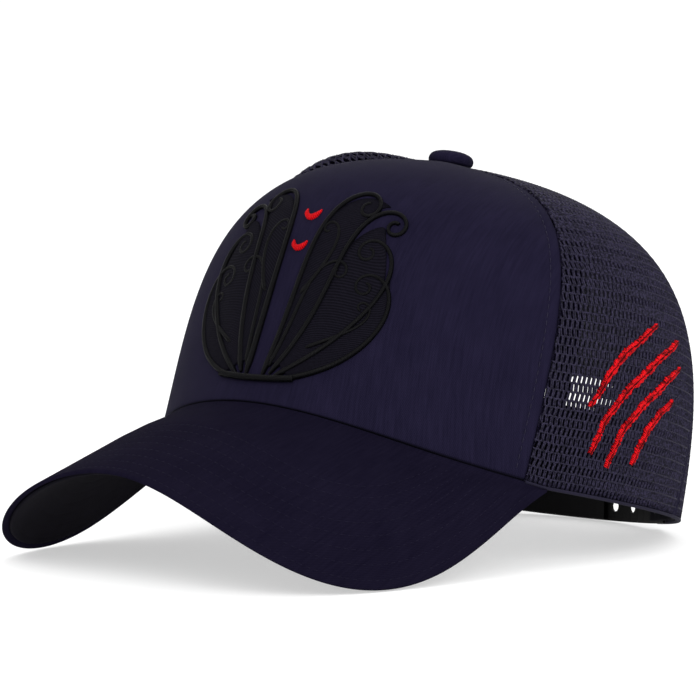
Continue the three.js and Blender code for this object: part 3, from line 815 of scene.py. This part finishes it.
def peak_rows(full, run, steps):
    """For each column the steps of its rows and their distances from the edge: rows close together at the
    edge and at each row of stitches, then five more up to the rim and inside the crown"""
    marks = {0, 0.1, 0.3, 0.6, 1.0, 1.5, 2.2}
    for row in PEAK_STITCH_ROWS:
        marks.update(row + off for off in (-0.7, -0.3, 0, 0.3, 0.7, 2.0, 3.8))
    marks = np.array(sorted(m for m in marks if m < 52))
    table, distance = [], []
    for k in range(len(full)):
        near = marks * min(1.0, 0.9 * full[k] / marks[-1])
        outside = np.interp(near, run[k], steps)
        low = outside[-1]
        table.append((*outside, low * 0.6, low * 0.25, 0.0, -0.5, -1.0))
        distance.append((*near, *([full[k]] * 5)))
    return np.array(table), np.array(distance)


def peak_shell(name, columns, upper):
    """One layer of the peak, with its outer edge rounded"""
    t, steps, run = peak_runs(columns)
    full = run[:, -1]
    table, distance = peak_rows(full, run, steps)
    rows = table.shape[1] - 1
    inset = 0.0 if upper else 2.3

    def face(i, j, lower):
        step, away = table[i, rows - j], distance[i, rows - j]
        shift = np.where(full[i] > 6, inset / np.maximum(full[i], 6), 0) * (step > 0)
        point, normal, taper, crest = peak_base(t[i], np.where(step > 0, step * (1 - shift), step))
        if upper and lower:
            depth = PEAK_TOP_THICK * taper - fall(away, 1.2, 0.35)
        elif upper:
            depth = fall(away, 1.3, 1.0) * taper
        elif lower:
            depth = (PEAK_THICK - fall(away, 1.2, 0.7)) * taper
        else:
            depth = (PEAK_TOP_THICK + PEAK_GAP) * taper
        if upper != lower:
            for row in PEAK_STITCH_ROWS:
                groove = bell(away - row, 0.4) * (full[i] > row + 2)
                depth = depth + (0.14 if upper else -0.05) * groove
        return point + normal * (crest - depth)[..., None]

    def chart(i, j):
        point, _, _, _ = peak_base(t[i], table[i, rows - j])
        bent = PEAK_BEND_RADIUS * np.arcsin(np.clip(point[..., 0] / PEAK_BEND_RADIUS, -0.98, 0.98))
        return bent, point[..., 1] * math.sqrt(1 + PEAK_SLOPE**2)

    return lifted_to_table(two_faced(name, columns, rows, face, chart))


# Button


def covered_button():
    """A cloth-covered button: a dome with its cover gathered round the lip"""
    bpy.ops.mesh.primitive_uv_sphere_add(segments=64, ring_count=32, radius=1)
    piece = just_made("button_cloth")
    ball = corners_of(piece)
    turn = np.arctan2(ball[:, 1], ball[:, 0])
    low = np.arccos(np.clip(ball[:, 2], -1, 1)) / math.pi
    # Radius and height over the top of the crown
    profile = np.array([(0, 5.1), (2.4, 5.02), (4.6, 4.75), (6.4, 4.2), (7.6, 3.4), (8.2, 2.4), (8.3, 1.4),
                        (8.1, 0.5), (7.5, -0.1), (6.4, -0.4), (4.0, -0.7), (2.4, -1.6), (0, -2.2)])
    run = lengths_along(profile)
    run /= run[-1]
    radius, height = read_at(low, run, *profile.T)
    radius = radius + 0.10 * np.sin(11 * turn + 1.5 * np.sin(3 * turn)) * smooth(radius, 5.2, 7.6)
    dent = 0.12 * bell(radius, 1.3)
    x, y = radius * np.cos(turn), radius * np.sin(turn)
    level = np.stack((x, y - TOP_SET_FORWARD, height - dent + CROWN_HEIGHT + 0.25), -1)
    set_chart(piece, np.stack((x * 1.15, y * 1.15), -1))
    set_corners(piece, seated(level))
    apply(piece, "SUBSURF", levels=1, render_levels=1)
    only(piece)
    bpy.ops.object.shade_smooth()
    return piece


# Stitches


def stitch_pattern():
    """One stitch: a short thread with both ends going down into the cloth"""
    bpy.ops.mesh.primitive_cylinder_add(vertices=6, radius=1, depth=2, rotation=(0, math.pi / 2, 0))
    piece = bpy.context.object
    bpy.ops.object.transform_apply(location=True, rotation=True, scale=True)
    start_edit()
    for bend in (-0.45, 0.45):
        select_all()
        bpy.ops.mesh.bisect(plane_co=(bend, 0, 0), plane_no=(1, 0, 0))
    end_edit()
    flat = corners_of(piece)
    end = np.abs(flat[:, 0]) > 0.9
    flat[end, 1:] *= 0.55
    flat[end, 2] -= 1.3
    faces = [list(f.vertices) for f in piece.data.polygons]
    bpy.data.objects.remove(piece, do_unlink=True)
    return flat, faces


STITCH, STITCH_FACES = stitch_pattern()


def stitch_row(line, normals, pitch, length, radius, sink=0.1):
    """The corners of a row of stitches along a line of seated points in metres; pitch, length, radius and
    how far they sink in are in mm"""
    run = lengths_along(line) / MM
    count = max(1, int(run[-1] / pitch))
    start = (run[-1] - count * pitch) / 2 + pitch / 2
    middle = start + pitch * np.arange(count)
    at = lambda where, table: np.stack(read_at(where, run, *table.T), -1)
    along = unit(at(middle + 0.4, line) - at(middle - 0.4, line))
    up = at(middle, normals)
    up = unit(up - along * (up * along).sum(-1, keepdims=True))
    here = at(middle, line) + up * (radius - sink) * MM
    axes = np.stack((along * length / 2, np.cross(up, along) * radius, up * radius), 1) * MM
    return here[:, None] + STITCH @ axes


def stitches(name, rows):
    corners = np.concatenate([row.reshape(-1, 3) for row in rows])
    size = len(STITCH)
    faces = [[v + first for v in face] for first in range(0, len(corners), size) for face in STITCH_FACES]
    return joined(name, [from_corners(name, corners, faces)])


def wall_line(angle, s, depth):
    """Seated points and outward normals along a line on the crown"""
    here = seated(wall_point(angle, s, depth))
    out = seated(wall_point(angle, s, np.asarray(depth) - 1.0))
    return here, unit(out - here)


def crown_stitches():
    s = np.linspace(0.008, 0.955, 260)
    rows = []
    for side in (1, -1):
        radius = radius_at(s)
        inset = FRONT_STITCH * np.minimum(1, SEAM_SHARE * 2 * seam_angle(s) * radius / FRONT_MARKS[-1])
        angle = side * (seam_angle(s) - gap_angle(s) - inset / radius)
        rows.append(stitch_row(*wall_line(angle, s, 0.2), 3.0, 2.3, 0.21))
    return stitches("front_topstitches", rows)


def tape_stitches():
    rows = []
    s = np.linspace(0.01, 0.93, 260)
    for middle in (1, -1, 0):
        for side in (1, -1):
            level = s if middle else np.linspace(ARCH_TOP + 0.05, 0.93, 200)
            radius = radius_at(level)
            narrowed = np.minimum(1, tape_half_angle(level) * radius / TAPE_HALF_WIDTH)
            base = middle * side_tape_angle(level) if middle else math.pi
            angle = base + side * (TAPE_HALF_WIDTH - 1.1) * narrowed / radius
            rows.append(stitch_row(*wall_line(angle, level, -0.13), 2.8, 2.1, 0.18))
    return stitches("tape_stitches", rows)


def band_stitches():
    """Stitches that hold the sweatband, low on its inner face"""
    degrees = np.linspace(-150, 150, 600)
    angle = np.radians(degrees)
    depth = sweatband_depth(degrees) + BAND_THICK - 0.05
    here, outward = wall_line(angle, s_at_height(angle, BAND_STITCH), depth)
    return stitches("sweatband_stitches", [stitch_row(here, -outward, 3.2, 2.4, 0.2)])


def arch_stitches():
    angle, s = beside_arch(np.linspace(0.05, math.pi - 0.05, 240), np.full(240, 3.6))
    return stitches("arch_stitches", [stitch_row(*wall_line(angle, s, -1.25), 2.8, 2.1, 0.18)])


def peak_stitches(name, upper):
    t, steps, run = peak_runs(300)
    rows = []
    for row in PEAK_STITCH_ROWS:
        use = run[:, -1] > row + 2.5
        if use.sum() < 8:
            continue
        step = np.array([np.interp(row, run[k], steps) for k in np.nonzero(use)[0]])
        point, normal, taper, crest = peak_base(t[use], step)
        depth = 0.14 if upper else PEAK_THICK * taper - 0.14
        line, tip = (seated(point + normal * (crest - depth + out)[..., None]) for out in (0, 1))
        normals = unit(tip - line) * (1 if upper else -1)
        rows.append(stitch_row(line, normals, 2.9, 2.1, 0.14))
    return lifted_to_table(stitches(name, rows))


# Embroidery


# Height of the emblem's middle up the front, the crown's radius there, how much wider it is drawn, and
# how far all embroidery lies over the cloth
EMBLEM_CENTRE_HEIGHT = 47.5
EMBLEM_RADIUS = RIM_HALF_WIDTH * 0.98
EMBLEM_STRETCH = 1.16
EMBLEM_LIFT = 0.3
# Start across and up in mm, heading, length, steady turn, curl at the tip, width
STEMS = (
    (-3.2, -37.0, 95, 106, -0.08, 26, 2.4),
    (-5.5, -36.0, 117, 98, -0.45, 31, 2.3),
    (-7.0, -37.0, 141, 88, -0.42, -31, 2.2),
    (-9.5, -37.5, 163, 78, -1.15, -33, 2.1),
    (-4.6, -33.0, 102, 60, -0.2, 42, 2.0),
    (-7.6, -5.0, 124, 40, -0.9, -50, 1.9),
    (-15.5, -24.5, 150, 34, -0.2, -58, 1.8),
)
STEM_TIE = (-14.0, -36.5, -12, 29, 0.85, 0, 2.4)
# Two neighbouring stems, and from where to where along them the petal between is filled
PETALS = ((0, 1, 0.05, 0.80), (1, 2, 0.05, 0.72), (2, 3, 0.05, 0.66))
# Name, place up from the emblem's middle, radius
ACCENTS = (("emblem_accent_upper", 29.0, 4.1), ("emblem_accent_lower", 16.0, 3.6))
# From angle and s, to angle and s, how far it bows, how much wider than 1 mm it gets
CLAW_STROKES = (
    (94.7, 0.310, 76.2, 0.128, -2.6, 1.7),
    (104.6, 0.288, 78.2, 0.058, -4.9, 1.9),
    (105.2, 0.233, 83.4, 0.043, -4.3, 1.9),
    (102.4, 0.169, 91.3, 0.054, -2.4, 1.7),
)


def on_front(x, y):
    """Angle and s of a point of the emblem, given across and up in mm from its middle"""
    s = s_at_height(np.zeros(np.shape(x)), EMBLEM_CENTRE_HEIGHT + y)
    return EMBLEM_STRETCH * x / EMBLEM_RADIUS, s


def satin_cord(name, angle, s, width, lift, tall, pitch=0.55, slant=0.5, split=0.0, sides=9, ragged=0.0,
               wander=0.0, rings_a_pitch=4):
    """A raised cord of satin stitches along a line on the crown: ridges of thread slant across it. Split
    is how deep the line down its middle is, ragged and wander how uneven its edges are"""
    random = np.random.default_rng(int(1000 * abs(angle[0] + s[0])))
    run = lengths_along(crown_point(angle, s))
    fine = np.arange(0, run[-1], pitch / rings_a_pitch)
    coarse = np.arange(0, run[-1] + 3, 1.5)
    angle, s = read_at(fine, run, angle, s)
    share = fine / run[-1]
    half = width(share) / 2
    stitch = (fine / pitch).astype(int)
    uneven = 1 + ragged * random.uniform(-1, 1, (2, stitch.max() + 1))
    slow = [np.interp(fine, coarse, random.uniform(-1, 1, len(coarse))) for _ in range(2)]
    along_angle, along_s = np.gradient(angle), np.gradient(s)
    spread = np.linspace(-1, 1, sides)
    rings, chart = [], []
    for k in range(sides):
        edge = 0 if spread[k] < 0 else 1
        aside = spread[k] * (half * uneven[edge][stitch] + wander * slow[edge] * np.minimum(1, half))
        chart.append(np.stack((aside, fine), -1))
        a, level = sidestep(angle, s, along_angle, along_s, aside)
        lean = np.abs(spread[k]) * half * slant if split else aside * slant
        ridge = 0.5 + 0.5 * np.cos(2 * math.pi * (fine + lean) / pitch)
        dome = np.sqrt(np.maximum(0, 1 - spread[k] ** 2)) ** 0.8
        dip = split * bell(spread[k], 0.16)
        up = tall * np.minimum(1, half / 0.9) * dome * (1 - dip) * (0.86 + 0.14 * ridge)
        rings.append(wall_point(a, level, -(lift + up)))
    for k in (sides - 1, 0):
        a, level = sidestep(angle, s, along_angle, along_s, spread[k] * half * 0.9)
        rings.append(wall_point(a, level, -lift + 0.35))
        chart.append(np.stack((spread[k] * half, fine), -1))
    piece = swept(name, seated(np.stack(rings, 1)))
    set_chart(piece, np.stack(chart, 1).reshape(-1, 2))
    return piece


def stem_line(stem, side):
    x, y, heading, length, turn, curl, _ = stem
    count = 400
    step = length / count
    share = (np.arange(count) + 0.5) / count
    headings = np.radians(heading + np.cumsum((turn + curl * share**5) * step))
    return on_front(side * (x + np.cumsum(np.cos(headings) * step)), y + np.cumsum(np.sin(headings) * step))


def emblem():
    cords = []
    for stem in STEMS:
        for side in (1, -1):
            width = lambda share, wide=stem[6]: wide * (1 - 0.42 * share) * np.minimum(1, 0.45 + share * 12)
            line = stem_line(stem, side)
            cords.append(satin_cord("cord", *line, width, EMBLEM_LIFT, 1.25, rings_a_pitch=3))
    tie = stem_line(STEM_TIE, 1)
    cords.append(satin_cord("cord", *tie, lambda share: 2.5 + 0 * share, EMBLEM_LIFT + 0.5, 1.3))
    return joined("emblem_cords", cords)


def petal(here, there, start, end, side):
    """A low satin fill laid across from one stem to the next"""
    count = 220
    share = np.linspace(start, end, count)
    edges = []
    for stem in (STEMS[here], STEMS[there]):
        angle, s = stem_line(stem, side)
        full = (np.arange(len(angle)) + 0.5) / len(angle)
        edges.append(np.stack(read_at(share, full, angle, s)))
    taper = np.sqrt(np.clip((end - share) / (end - start) * 3.5, 0, 1))
    rings = []
    across = np.linspace(0, 1, 9)
    for k in (*range(9), 8, 0):
        u = 0.5 + (across[k] - 0.5) * taper
        angle, s = mix(edges[0], edges[1], u)
        thread = 0.5 + 0.5 * np.cos(2 * math.pi * (np.arange(count) / 3.4 + 1.5 * u))
        dome = 1 - (2 * np.abs(across[k] - 0.5)) ** 3
        depth = -(EMBLEM_LIFT + 0.12 + 0.3 * dome + 0.1 * thread) if len(rings) < 9 else 0.2
        rings.append(wall_point(angle, s, depth))
    piece = swept("petal", seated(np.stack(rings, 1)))
    chart = np.stack([np.stack((share * 90, np.full(count, k * 0.8)), -1) for k in range(len(rings))], 1)
    set_chart(piece, chart.reshape(-1, 2))
    return piece


def petals():
    return joined("emblem_petals", [petal(*row, side) for row in PETALS for side in (1, -1)])


def crescent(name, up, radius):
    turn = np.radians(np.linspace(-172, -8, 60))
    line = on_front(radius / EMBLEM_STRETCH * np.cos(turn), up + radius * np.sin(turn))
    width = lambda share: 0.4 + 1.9 * np.sin(math.pi * np.clip(share, 0, 1))
    return joined(name, [satin_cord(name, *line, width, EMBLEM_LIFT, 1.35, pitch=0.45)])


def claw_stroke(name, row):
    a0, s0, a1, s1, bow, swell = row
    t = np.linspace(0, 1, 120)
    wobble = 0.2 * np.sin(9 * t + a0) + 0.15 * np.sin(23 * t + 3 * a0)
    angle = np.radians(mix(a0, a1, t) + bow * np.sin(math.pi * t) + wobble)
    s = mix(s0, s1, t)
    width = lambda share: 1.0 + swell * np.sin(math.pi * (0.05 + 0.88 * share)) ** 0.7
    piece = satin_cord(name, angle, s, width, EMBLEM_LIFT, 1.2, pitch=0.6, slant=1.0, split=0.75, sides=13,
                       ragged=0.36, wander=0.42)
    return joined(name, [piece])


# Materials

# A wave texture of scale 1 has a period of pi / 10
WAVE_SCALE = 0.31416


def shader(name, colour, rough, specular):
    """A material and its main node; numbers that are the same all over sit on the node itself"""
    material = bpy.data.materials.new(name)
    material.use_nodes = True
    main = material.node_tree.nodes["Principled BSDF"]
    main.inputs["Base Color"].default_value = (*colour, 1)
    main.inputs["Roughness"].default_value = rough
    main.inputs["Specular IOR Level"].default_value = specular
    return material, main


def node(near, kind, inputs=(), **settings):
    """A new node in the tree of another; each input is given a number, a list or what a node gives"""
    made = near.id_data.nodes.new(kind)
    for key, value in settings.items():
        setattr(made, key, value)
    for key, value in dict(inputs).items():
        if isinstance(value, bpy.types.NodeSocket):
            feed(made, key, value)
        else:
            made.inputs[key].default_value = value
    return made


def feed(to, key, value):
    to.id_data.links.new(value, to.inputs[key])


def maths(how, a, b):
    return node(a, "ShaderNodeMath", {0: a, 1: b}, operation=how).outputs[0]


def times(a, b):
    return maths("MULTIPLY", a, b)


def mixed(a, share_a, b, share_b):
    """A sum of two values, each with its share"""
    return maths("ADD", times(a, share_a), times(b, share_b))


def chart_place(near, scale=(1, 1, 1), turn=0.0, source="UV"):
    place = node(near, "ShaderNodeTexCoord").outputs[source]
    inputs = {"Vector": place, "Scale": scale, "Rotation": (0, 0, turn)}
    return node(near, "ShaderNodeMapping", inputs).outputs["Vector"]


def place_in_mm(near):
    return chart_place(near, (1 / MM, 1 / MM, 1 / MM), source="Object")


def chart_part(near, axis):
    return node(near, "ShaderNodeSeparateXYZ", {"Vector": chart_place(near)}).outputs[axis]


def ribs(vector, pitch, distortion=0.0, axis="X"):
    """Fine ribs at a pitch given in the vector's own unit"""
    inputs = {"Vector": vector, "Scale": WAVE_SCALE / pitch, "Distortion": distortion, "Detail": 1.0,
              "Detail Scale": 2.0}
    return node(vector, "ShaderNodeTexWave", inputs, wave_type="BANDS", bands_direction=axis).outputs["Fac"]


def mottle(vector, scale, detail=3.0, rough=0.6):
    inputs = {"Vector": vector, "Scale": scale, "Detail": detail, "Roughness": rough}
    return node(vector, "ShaderNodeTexNoise", inputs).outputs["Fac"]


def tint(main, value, low, high, dark, light):
    ramp = node(main, "ShaderNodeValToRGB", {"Fac": value})
    for stop, place, colour in zip(ramp.color_ramp.elements, (low, high), (dark, light)):
        stop.position = place
        stop.color = (*colour, 1)
    feed(main, "Base Color", ramp.outputs["Color"])
    return ramp.outputs["Color"]


def relief(main, value, distance, strength):
    bump = node(main, "ShaderNodeBump", {"Height": value, "Distance": distance * MM, "Strength": strength})
    feed(main, "Normal", bump.outputs["Normal"])


def respan(value, low, high, to_low, to_high=1.0):
    """Brings a value from one range to another"""
    inputs = {"Value": value, "From Min": low, "From Max": high, "To Min": to_low, "To Max": to_high}
    return node(value, "ShaderNodeMapRange", inputs).outputs["Result"]


def rough_range(main, value, low, high):
    feed(main, "Roughness", respan(value, 0, 1, low, high))


def twill(name, dark, light, specular=0.04, seam_shade_height=0.0):
    """Brushed twill: diagonal ribs, upright slubs and soft blotches. Up to a height given in mm by its last
    argument,
    its lower edge is darkened: painted shade, the shadow in the seam gap along that edge"""
    material, main = shader(name, light, 0.85, specular)
    ribbed = ribs(chart_place(main, turn=math.radians(27)), 0.55, 0.4)
    crossed = ribs(chart_place(main), 0.42, 0.3, "Y")
    slubs = mottle(chart_place(main, (1.1, 0.09, 1)), 1.0, 4.0)
    blotches = mottle(chart_place(main, (0.05, 0.05, 1)), 1.0, 3.0)
    height = mixed(mixed(ribbed, 0.6, crossed, 0.25), 1.0, slubs, 1.2)
    shade = mixed(mixed(slubs, 0.65, blotches, 0.35), 0.85, ribbed, 0.15)
    colour = tint(main, shade, 0.34, 0.66, dark, light)
    # Painted shade: darker towards the lower edge, for the shadow in the seam gap
    if seam_shade_height:
        clear = respan(chart_part(main, "Y"), 0.5 * seam_shade_height, 1.3 * seam_shade_height, 0.12)
        shaded = node(main, "ShaderNodeVectorMath", {0: colour, "Scale": clear}, operation="SCALE")
        feed(main, "Base Color", shaded.outputs["Vector"])
    relief(main, height, 0.12, 0.6)
    rough_range(main, slubs, 0.8, 0.95)
    return material


def lining(name, dark, light):
    """Plain woven black cloth"""
    material, main = shader(name, light, 0.9, 0.03)
    over = ribs(chart_place(main), 0.5, 0.2, "X")
    under = ribs(chart_place(main), 0.5, 0.2, "Y")
    blotches = mottle(chart_place(main, (0.12, 0.12, 1)), 1.0, 4.0)
    tint(main, blotches, 0.3, 0.7, dark, light)
    relief(main, maths("MAXIMUM", over, under), 0.08, 0.5)
    rough_range(main, blotches, 0.82, 0.95)
    return material


def satin(name, dark, light, rough, specular, ramp=(0.25, 0.75), split=False):
    """Embroidery thread laid side by side. The dark lines between threads and the dark patches are painted
    shade in the hollows between ridges, and the patches are random tone as well. A split one has a dark line
    down its middle too, painted shade in the groove where the stitches meet, and darker stretches along it"""
    material, main = shader(name, light, rough, specular)
    # The laid ribs give the bump and also darken the lines between threads: painted shade in the hollows
    laid = ribs(chart_place(main, turn=math.radians(62)), 0.5, 0.6, "X")
    # Random patches of tone; the dark ones are also painted shade in the hollows between bunched threads
    patchy_tone_and_shade = mottle(chart_place(main, (1.2, 0.5, 1)), 1.0, 4.0)
    shade = mixed(laid, 0.45, patchy_tone_and_shade, 0.55)
    if split:
        wander = maths("SUBTRACT", mottle(chart_place(main, (0.0, 0.35, 1)), 1.0), 0.5)
        aside = mixed(chart_part(main, "X"), 1.0, wander, 1.6)
        # Painted shade: a dark line down the middle, the shadow in the groove where the stitches meet
        groove_shade = respan(maths("ABSOLUTE", aside, 0.0), 0.08, 0.42, 0.35)
        # Darker stretches along the cord, placed at random
        darker_stretches = respan(mottle(chart_place(main, (0.45, 0.22, 1)), 1.0), 0.40, 0.54, 0.58)
        shade = times(times(shade, groove_shade), darker_stretches)
    tint(main, shade, *ramp, dark, light)
    relief(main, laid, 0.16, 0.8)
    rough_range(main, patchy_tone_and_shade, rough - 0.06, rough + 0.12)
    return material


def thread(name, dark, light, rough, specular, grain=1.6, ramp=(0.32, 0.68)):
    """Shiny thread seen close: fine strands and small changes of colour; where the tint runs far up to a
    light end, as on the net, its bright flecks are painted highlights, glints on the threads
    """
    material, main = shader(name, light, rough, specular)
    strands_and_glints = mottle(place_in_mm(main), grain, 4.0, 0.7)
    tint(main, strands_and_glints, *ramp, dark, light)
    relief(main, strands_and_glints, 0.12, 0.5)
    rough_range(main, strands_and_glints, rough - 0.08, rough + 0.12)
    return material


def moulded_plastic(name):
    material, main = shader(name, (0.002, 0.002, 0.003), 0.45, 0.06)
    grain = mottle(place_in_mm(main), 1.4, 5.0, 0.7)
    cloud = mottle(place_in_mm(main), 0.08, 2.0)
    tint(main, cloud, 0.3, 0.7, (0.0012, 0.0011, 0.0015), (0.0022, 0.0020, 0.0025))
    relief(main, grain, 0.05, 0.35)
    rough_range(main, grain, 0.34, 0.5)
    return material


# The scene: floor, lights, camera

WHITE = (1, 1, 1, 1)
FLOOR_SIZE = 60
FLOOR_GLOW = 0.51
SKY_STRENGTH = 1.05
# Name, place in metres and watts
LIGHTS = (("front", (0.5, -1.7, 2.0), 12), ("right", (1.9, -0.95, 1.05), 30), ("back", (-1.0, 1.4, 1.8), 10))
LIGHT_SIZE = 1.6
LIT_POINT = (0, 0, 0.06)
# The camera's turn, tilt, distance and aim were fitted to the cap's outline
CAMERA_TURN = math.radians(42.77)
CAMERA_TILT = math.radians(4.8)
CAMERA_DISTANCE = 1.7
CAMERA_SHIFT = -0.0257
CAMERA_AIM_HEIGHT = 0.07
LENS = 239.947714
SENSOR_WIDTH = 36


def aimed(name, data, spot, forward):
    """A light or a camera at a spot, looking forward"""
    made = linked(name, data)
    made.location = spot
    made.rotation_euler = forward.to_track_quat("-Z", "Y").to_euler()
    return made


def studio():
    bpy.ops.mesh.primitive_plane_add(size=FLOOR_SIZE)
    floor = bpy.context.object
    floor.name = "floor"
    material, main = shader("lit table", (0.55, 0.55, 0.55), 0.9, 0.0)
    main.inputs["Emission Color"].default_value = WHITE
    main.inputs["Emission Strength"].default_value = FLOOR_GLOW
    place = chart_place(main, (40, 40, 40), source="Object")
    tint(main, mottle(place, 1.0, 2.0), 0.2, 0.8, (0.555, 0.555, 0.555), (0.565, 0.565, 0.565))
    floor.data.materials.append(material)
    world = bpy.data.worlds.new("studio")
    bpy.context.scene.world = world
    world.use_nodes = True
    sky = world.node_tree.nodes["Background"]
    sky.inputs["Color"].default_value = WHITE
    sky.inputs["Strength"].default_value = SKY_STRENGTH
    for name, spot, power in LIGHTS:
        data = bpy.data.lights.new(name, "AREA")
        data.size = LIGHT_SIZE
        data.energy = power
        aimed(name, data, spot, Vector(LIT_POINT) - Vector(spot))
    bpy.context.scene.view_settings.view_transform = "Standard"


def camera():
    """Looks from the front and the wearer's left, at the middle of the seated cap"""
    turn, tilt = CAMERA_TURN, CAMERA_TILT
    right = Vector((math.cos(turn), math.sin(turn), 0))
    forward = Vector((-math.sin(turn) * math.cos(tilt), math.cos(turn) * math.cos(tilt), -math.sin(tilt)))
    target = right * CAMERA_SHIFT + Vector((0, 0, CAMERA_AIM_HEIGHT)) + Vector(CENTRING) * MM
    data = bpy.data.cameras.new("camera")
    data.sensor_width = SENSOR_WIDTH
    data.lens = LENS
    data.clip_end = 100
    bpy.context.scene.camera = aimed("camera", data, target - forward * CAMERA_DISTANCE, forward)


camera()
studio()

navy_cloth = twill("navy twill", (0.0046, 0.0036, 0.0124), (0.0106, 0.0086, 0.0238))
# The front's darkened lower edge is painted shade: the shadow in the gap between the front and the peak
front_cloth = twill("front twill", (0.0049, 0.0039, 0.0130), (0.0102, 0.0083, 0.0230), seam_shade_height=0.9)
# The hem's lighter twill is painted highlight: the thin light line along the hem's lower edge
hem_cloth = twill("hem twill", (0.0070, 0.0058, 0.0150), (0.0160, 0.0140, 0.0280), 0.10)
peak_cloth = twill("peak twill", (0.0040, 0.0032, 0.0092), (0.0070, 0.0057, 0.0142), 0.008)
black_lining = lining("black lining", (0.0032, 0.0028, 0.0050), (0.0062, 0.0054, 0.0088))
# The net thread's bright flecks are painted highlights: glints on its threads, laid into the colour
net_thread = thread("net thread", (0.0016, 0.0012, 0.0050), (0.0260, 0.0220, 0.0490), 0.45, 0.11, 1.3,
                    (0.41, 0.61))
navy_thread = thread("navy thread", (0.0080, 0.0066, 0.0180), (0.0150, 0.0128, 0.0290), 0.55, 0.10)
peak_thread = thread("peak thread", (0.0056, 0.0046, 0.0125), (0.0102, 0.0086, 0.0205), 0.6, 0.035)
black_thread = thread("black sewing thread", (0.0022, 0.0021, 0.0024), (0.0050, 0.0048, 0.0052), 0.5, 0.1)
black_satin = satin("black satin stitch", (0.0006, 0.0006, 0.0009), (0.0026, 0.0025, 0.0033), 0.34, 0.07)
black_fill = satin("black satin fill", (0.0026, 0.0023, 0.0042), (0.0066, 0.0059, 0.0100), 0.6, 0.015)
red_satin = satin("red satin stitch", (0.055, 0.0006, 0.0016), (0.78, 0.0052, 0.0105), 0.55, 0.06,
                  (0.26, 0.54), True)
red_bar = satin("red satin bar", (0.20, 0.0008, 0.0020), (0.72, 0.0050, 0.0100), 0.55, 0.06)
plastic = moulded_plastic("moulded black plastic")

finished(front_panel(), "navy_cloth", front_cloth, "front_panel")
for side, name in ((1, "left"), (-1, "right")):
    finished(side_net(f"side_net_{name}", side), "net", net_thread, f"side_mesh_{name}")
    finished(side_tape(f"side_tape_cloth_{name}", side), "navy_cloth", navy_cloth, f"side_tape_{name}")
    finished(rear_net(f"rear_net_{name}", side), "net", net_thread, f"rear_mesh_{name}")
    finished(rim_hem(f"rim_hem_{name}", side), "navy_cloth", hem_cloth)
for side, name in ((1, "left"), (-1, "right")):
    finished(inner_seam_tape(f"inner_seam_tape_{name}", side), "navy_cloth", navy_cloth)
finished(rear_tape(), "navy_cloth", navy_cloth, "rear_tape")
finished(arch_binding(), "navy_cloth", navy_cloth, "arch_binding")
finished(covered_button(), "navy_cloth", navy_cloth, "button")
finished(sweatband(), "black_cloth", black_lining, "sweatband")
finished(peak_shell("peak_top_cloth", 240, True), "peak_cloth", peak_cloth, "peak_top")
finished(peak_shell("peak_under_cloth", 168, False), "black_cloth", black_lining, "peak_under")
finished(crown_stitches(), "navy_cloth", navy_thread)
finished(tape_stitches(), "navy_cloth", navy_thread)
finished(band_stitches(), "black_cloth", black_thread)
finished(arch_stitches(), "navy_cloth", navy_thread)
finished(peak_stitches("peak_stitches_above", True), "peak_cloth", peak_thread)
finished(peak_stitches("peak_stitches_below", False), "black_cloth", black_lining)
finished(emblem(), "black_thread", black_satin, "emblem")
finished(petals(), "black_thread", black_fill)
for name, up, radius in ACCENTS:
    finished(crescent(f"{name}_satin", up, radius), "red_thread", red_bar, name)
for k, row in enumerate(CLAW_STROKES):
    finished(claw_stroke(f"claw_stroke_{k + 1}_satin", row), "red_thread", red_satin, f"claw_stroke_{k + 1}")
for name in ("strap_holes", "strap_pegs"):
    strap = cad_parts[name]
    for slot in strap.material_slots:
        slot.material = plastic
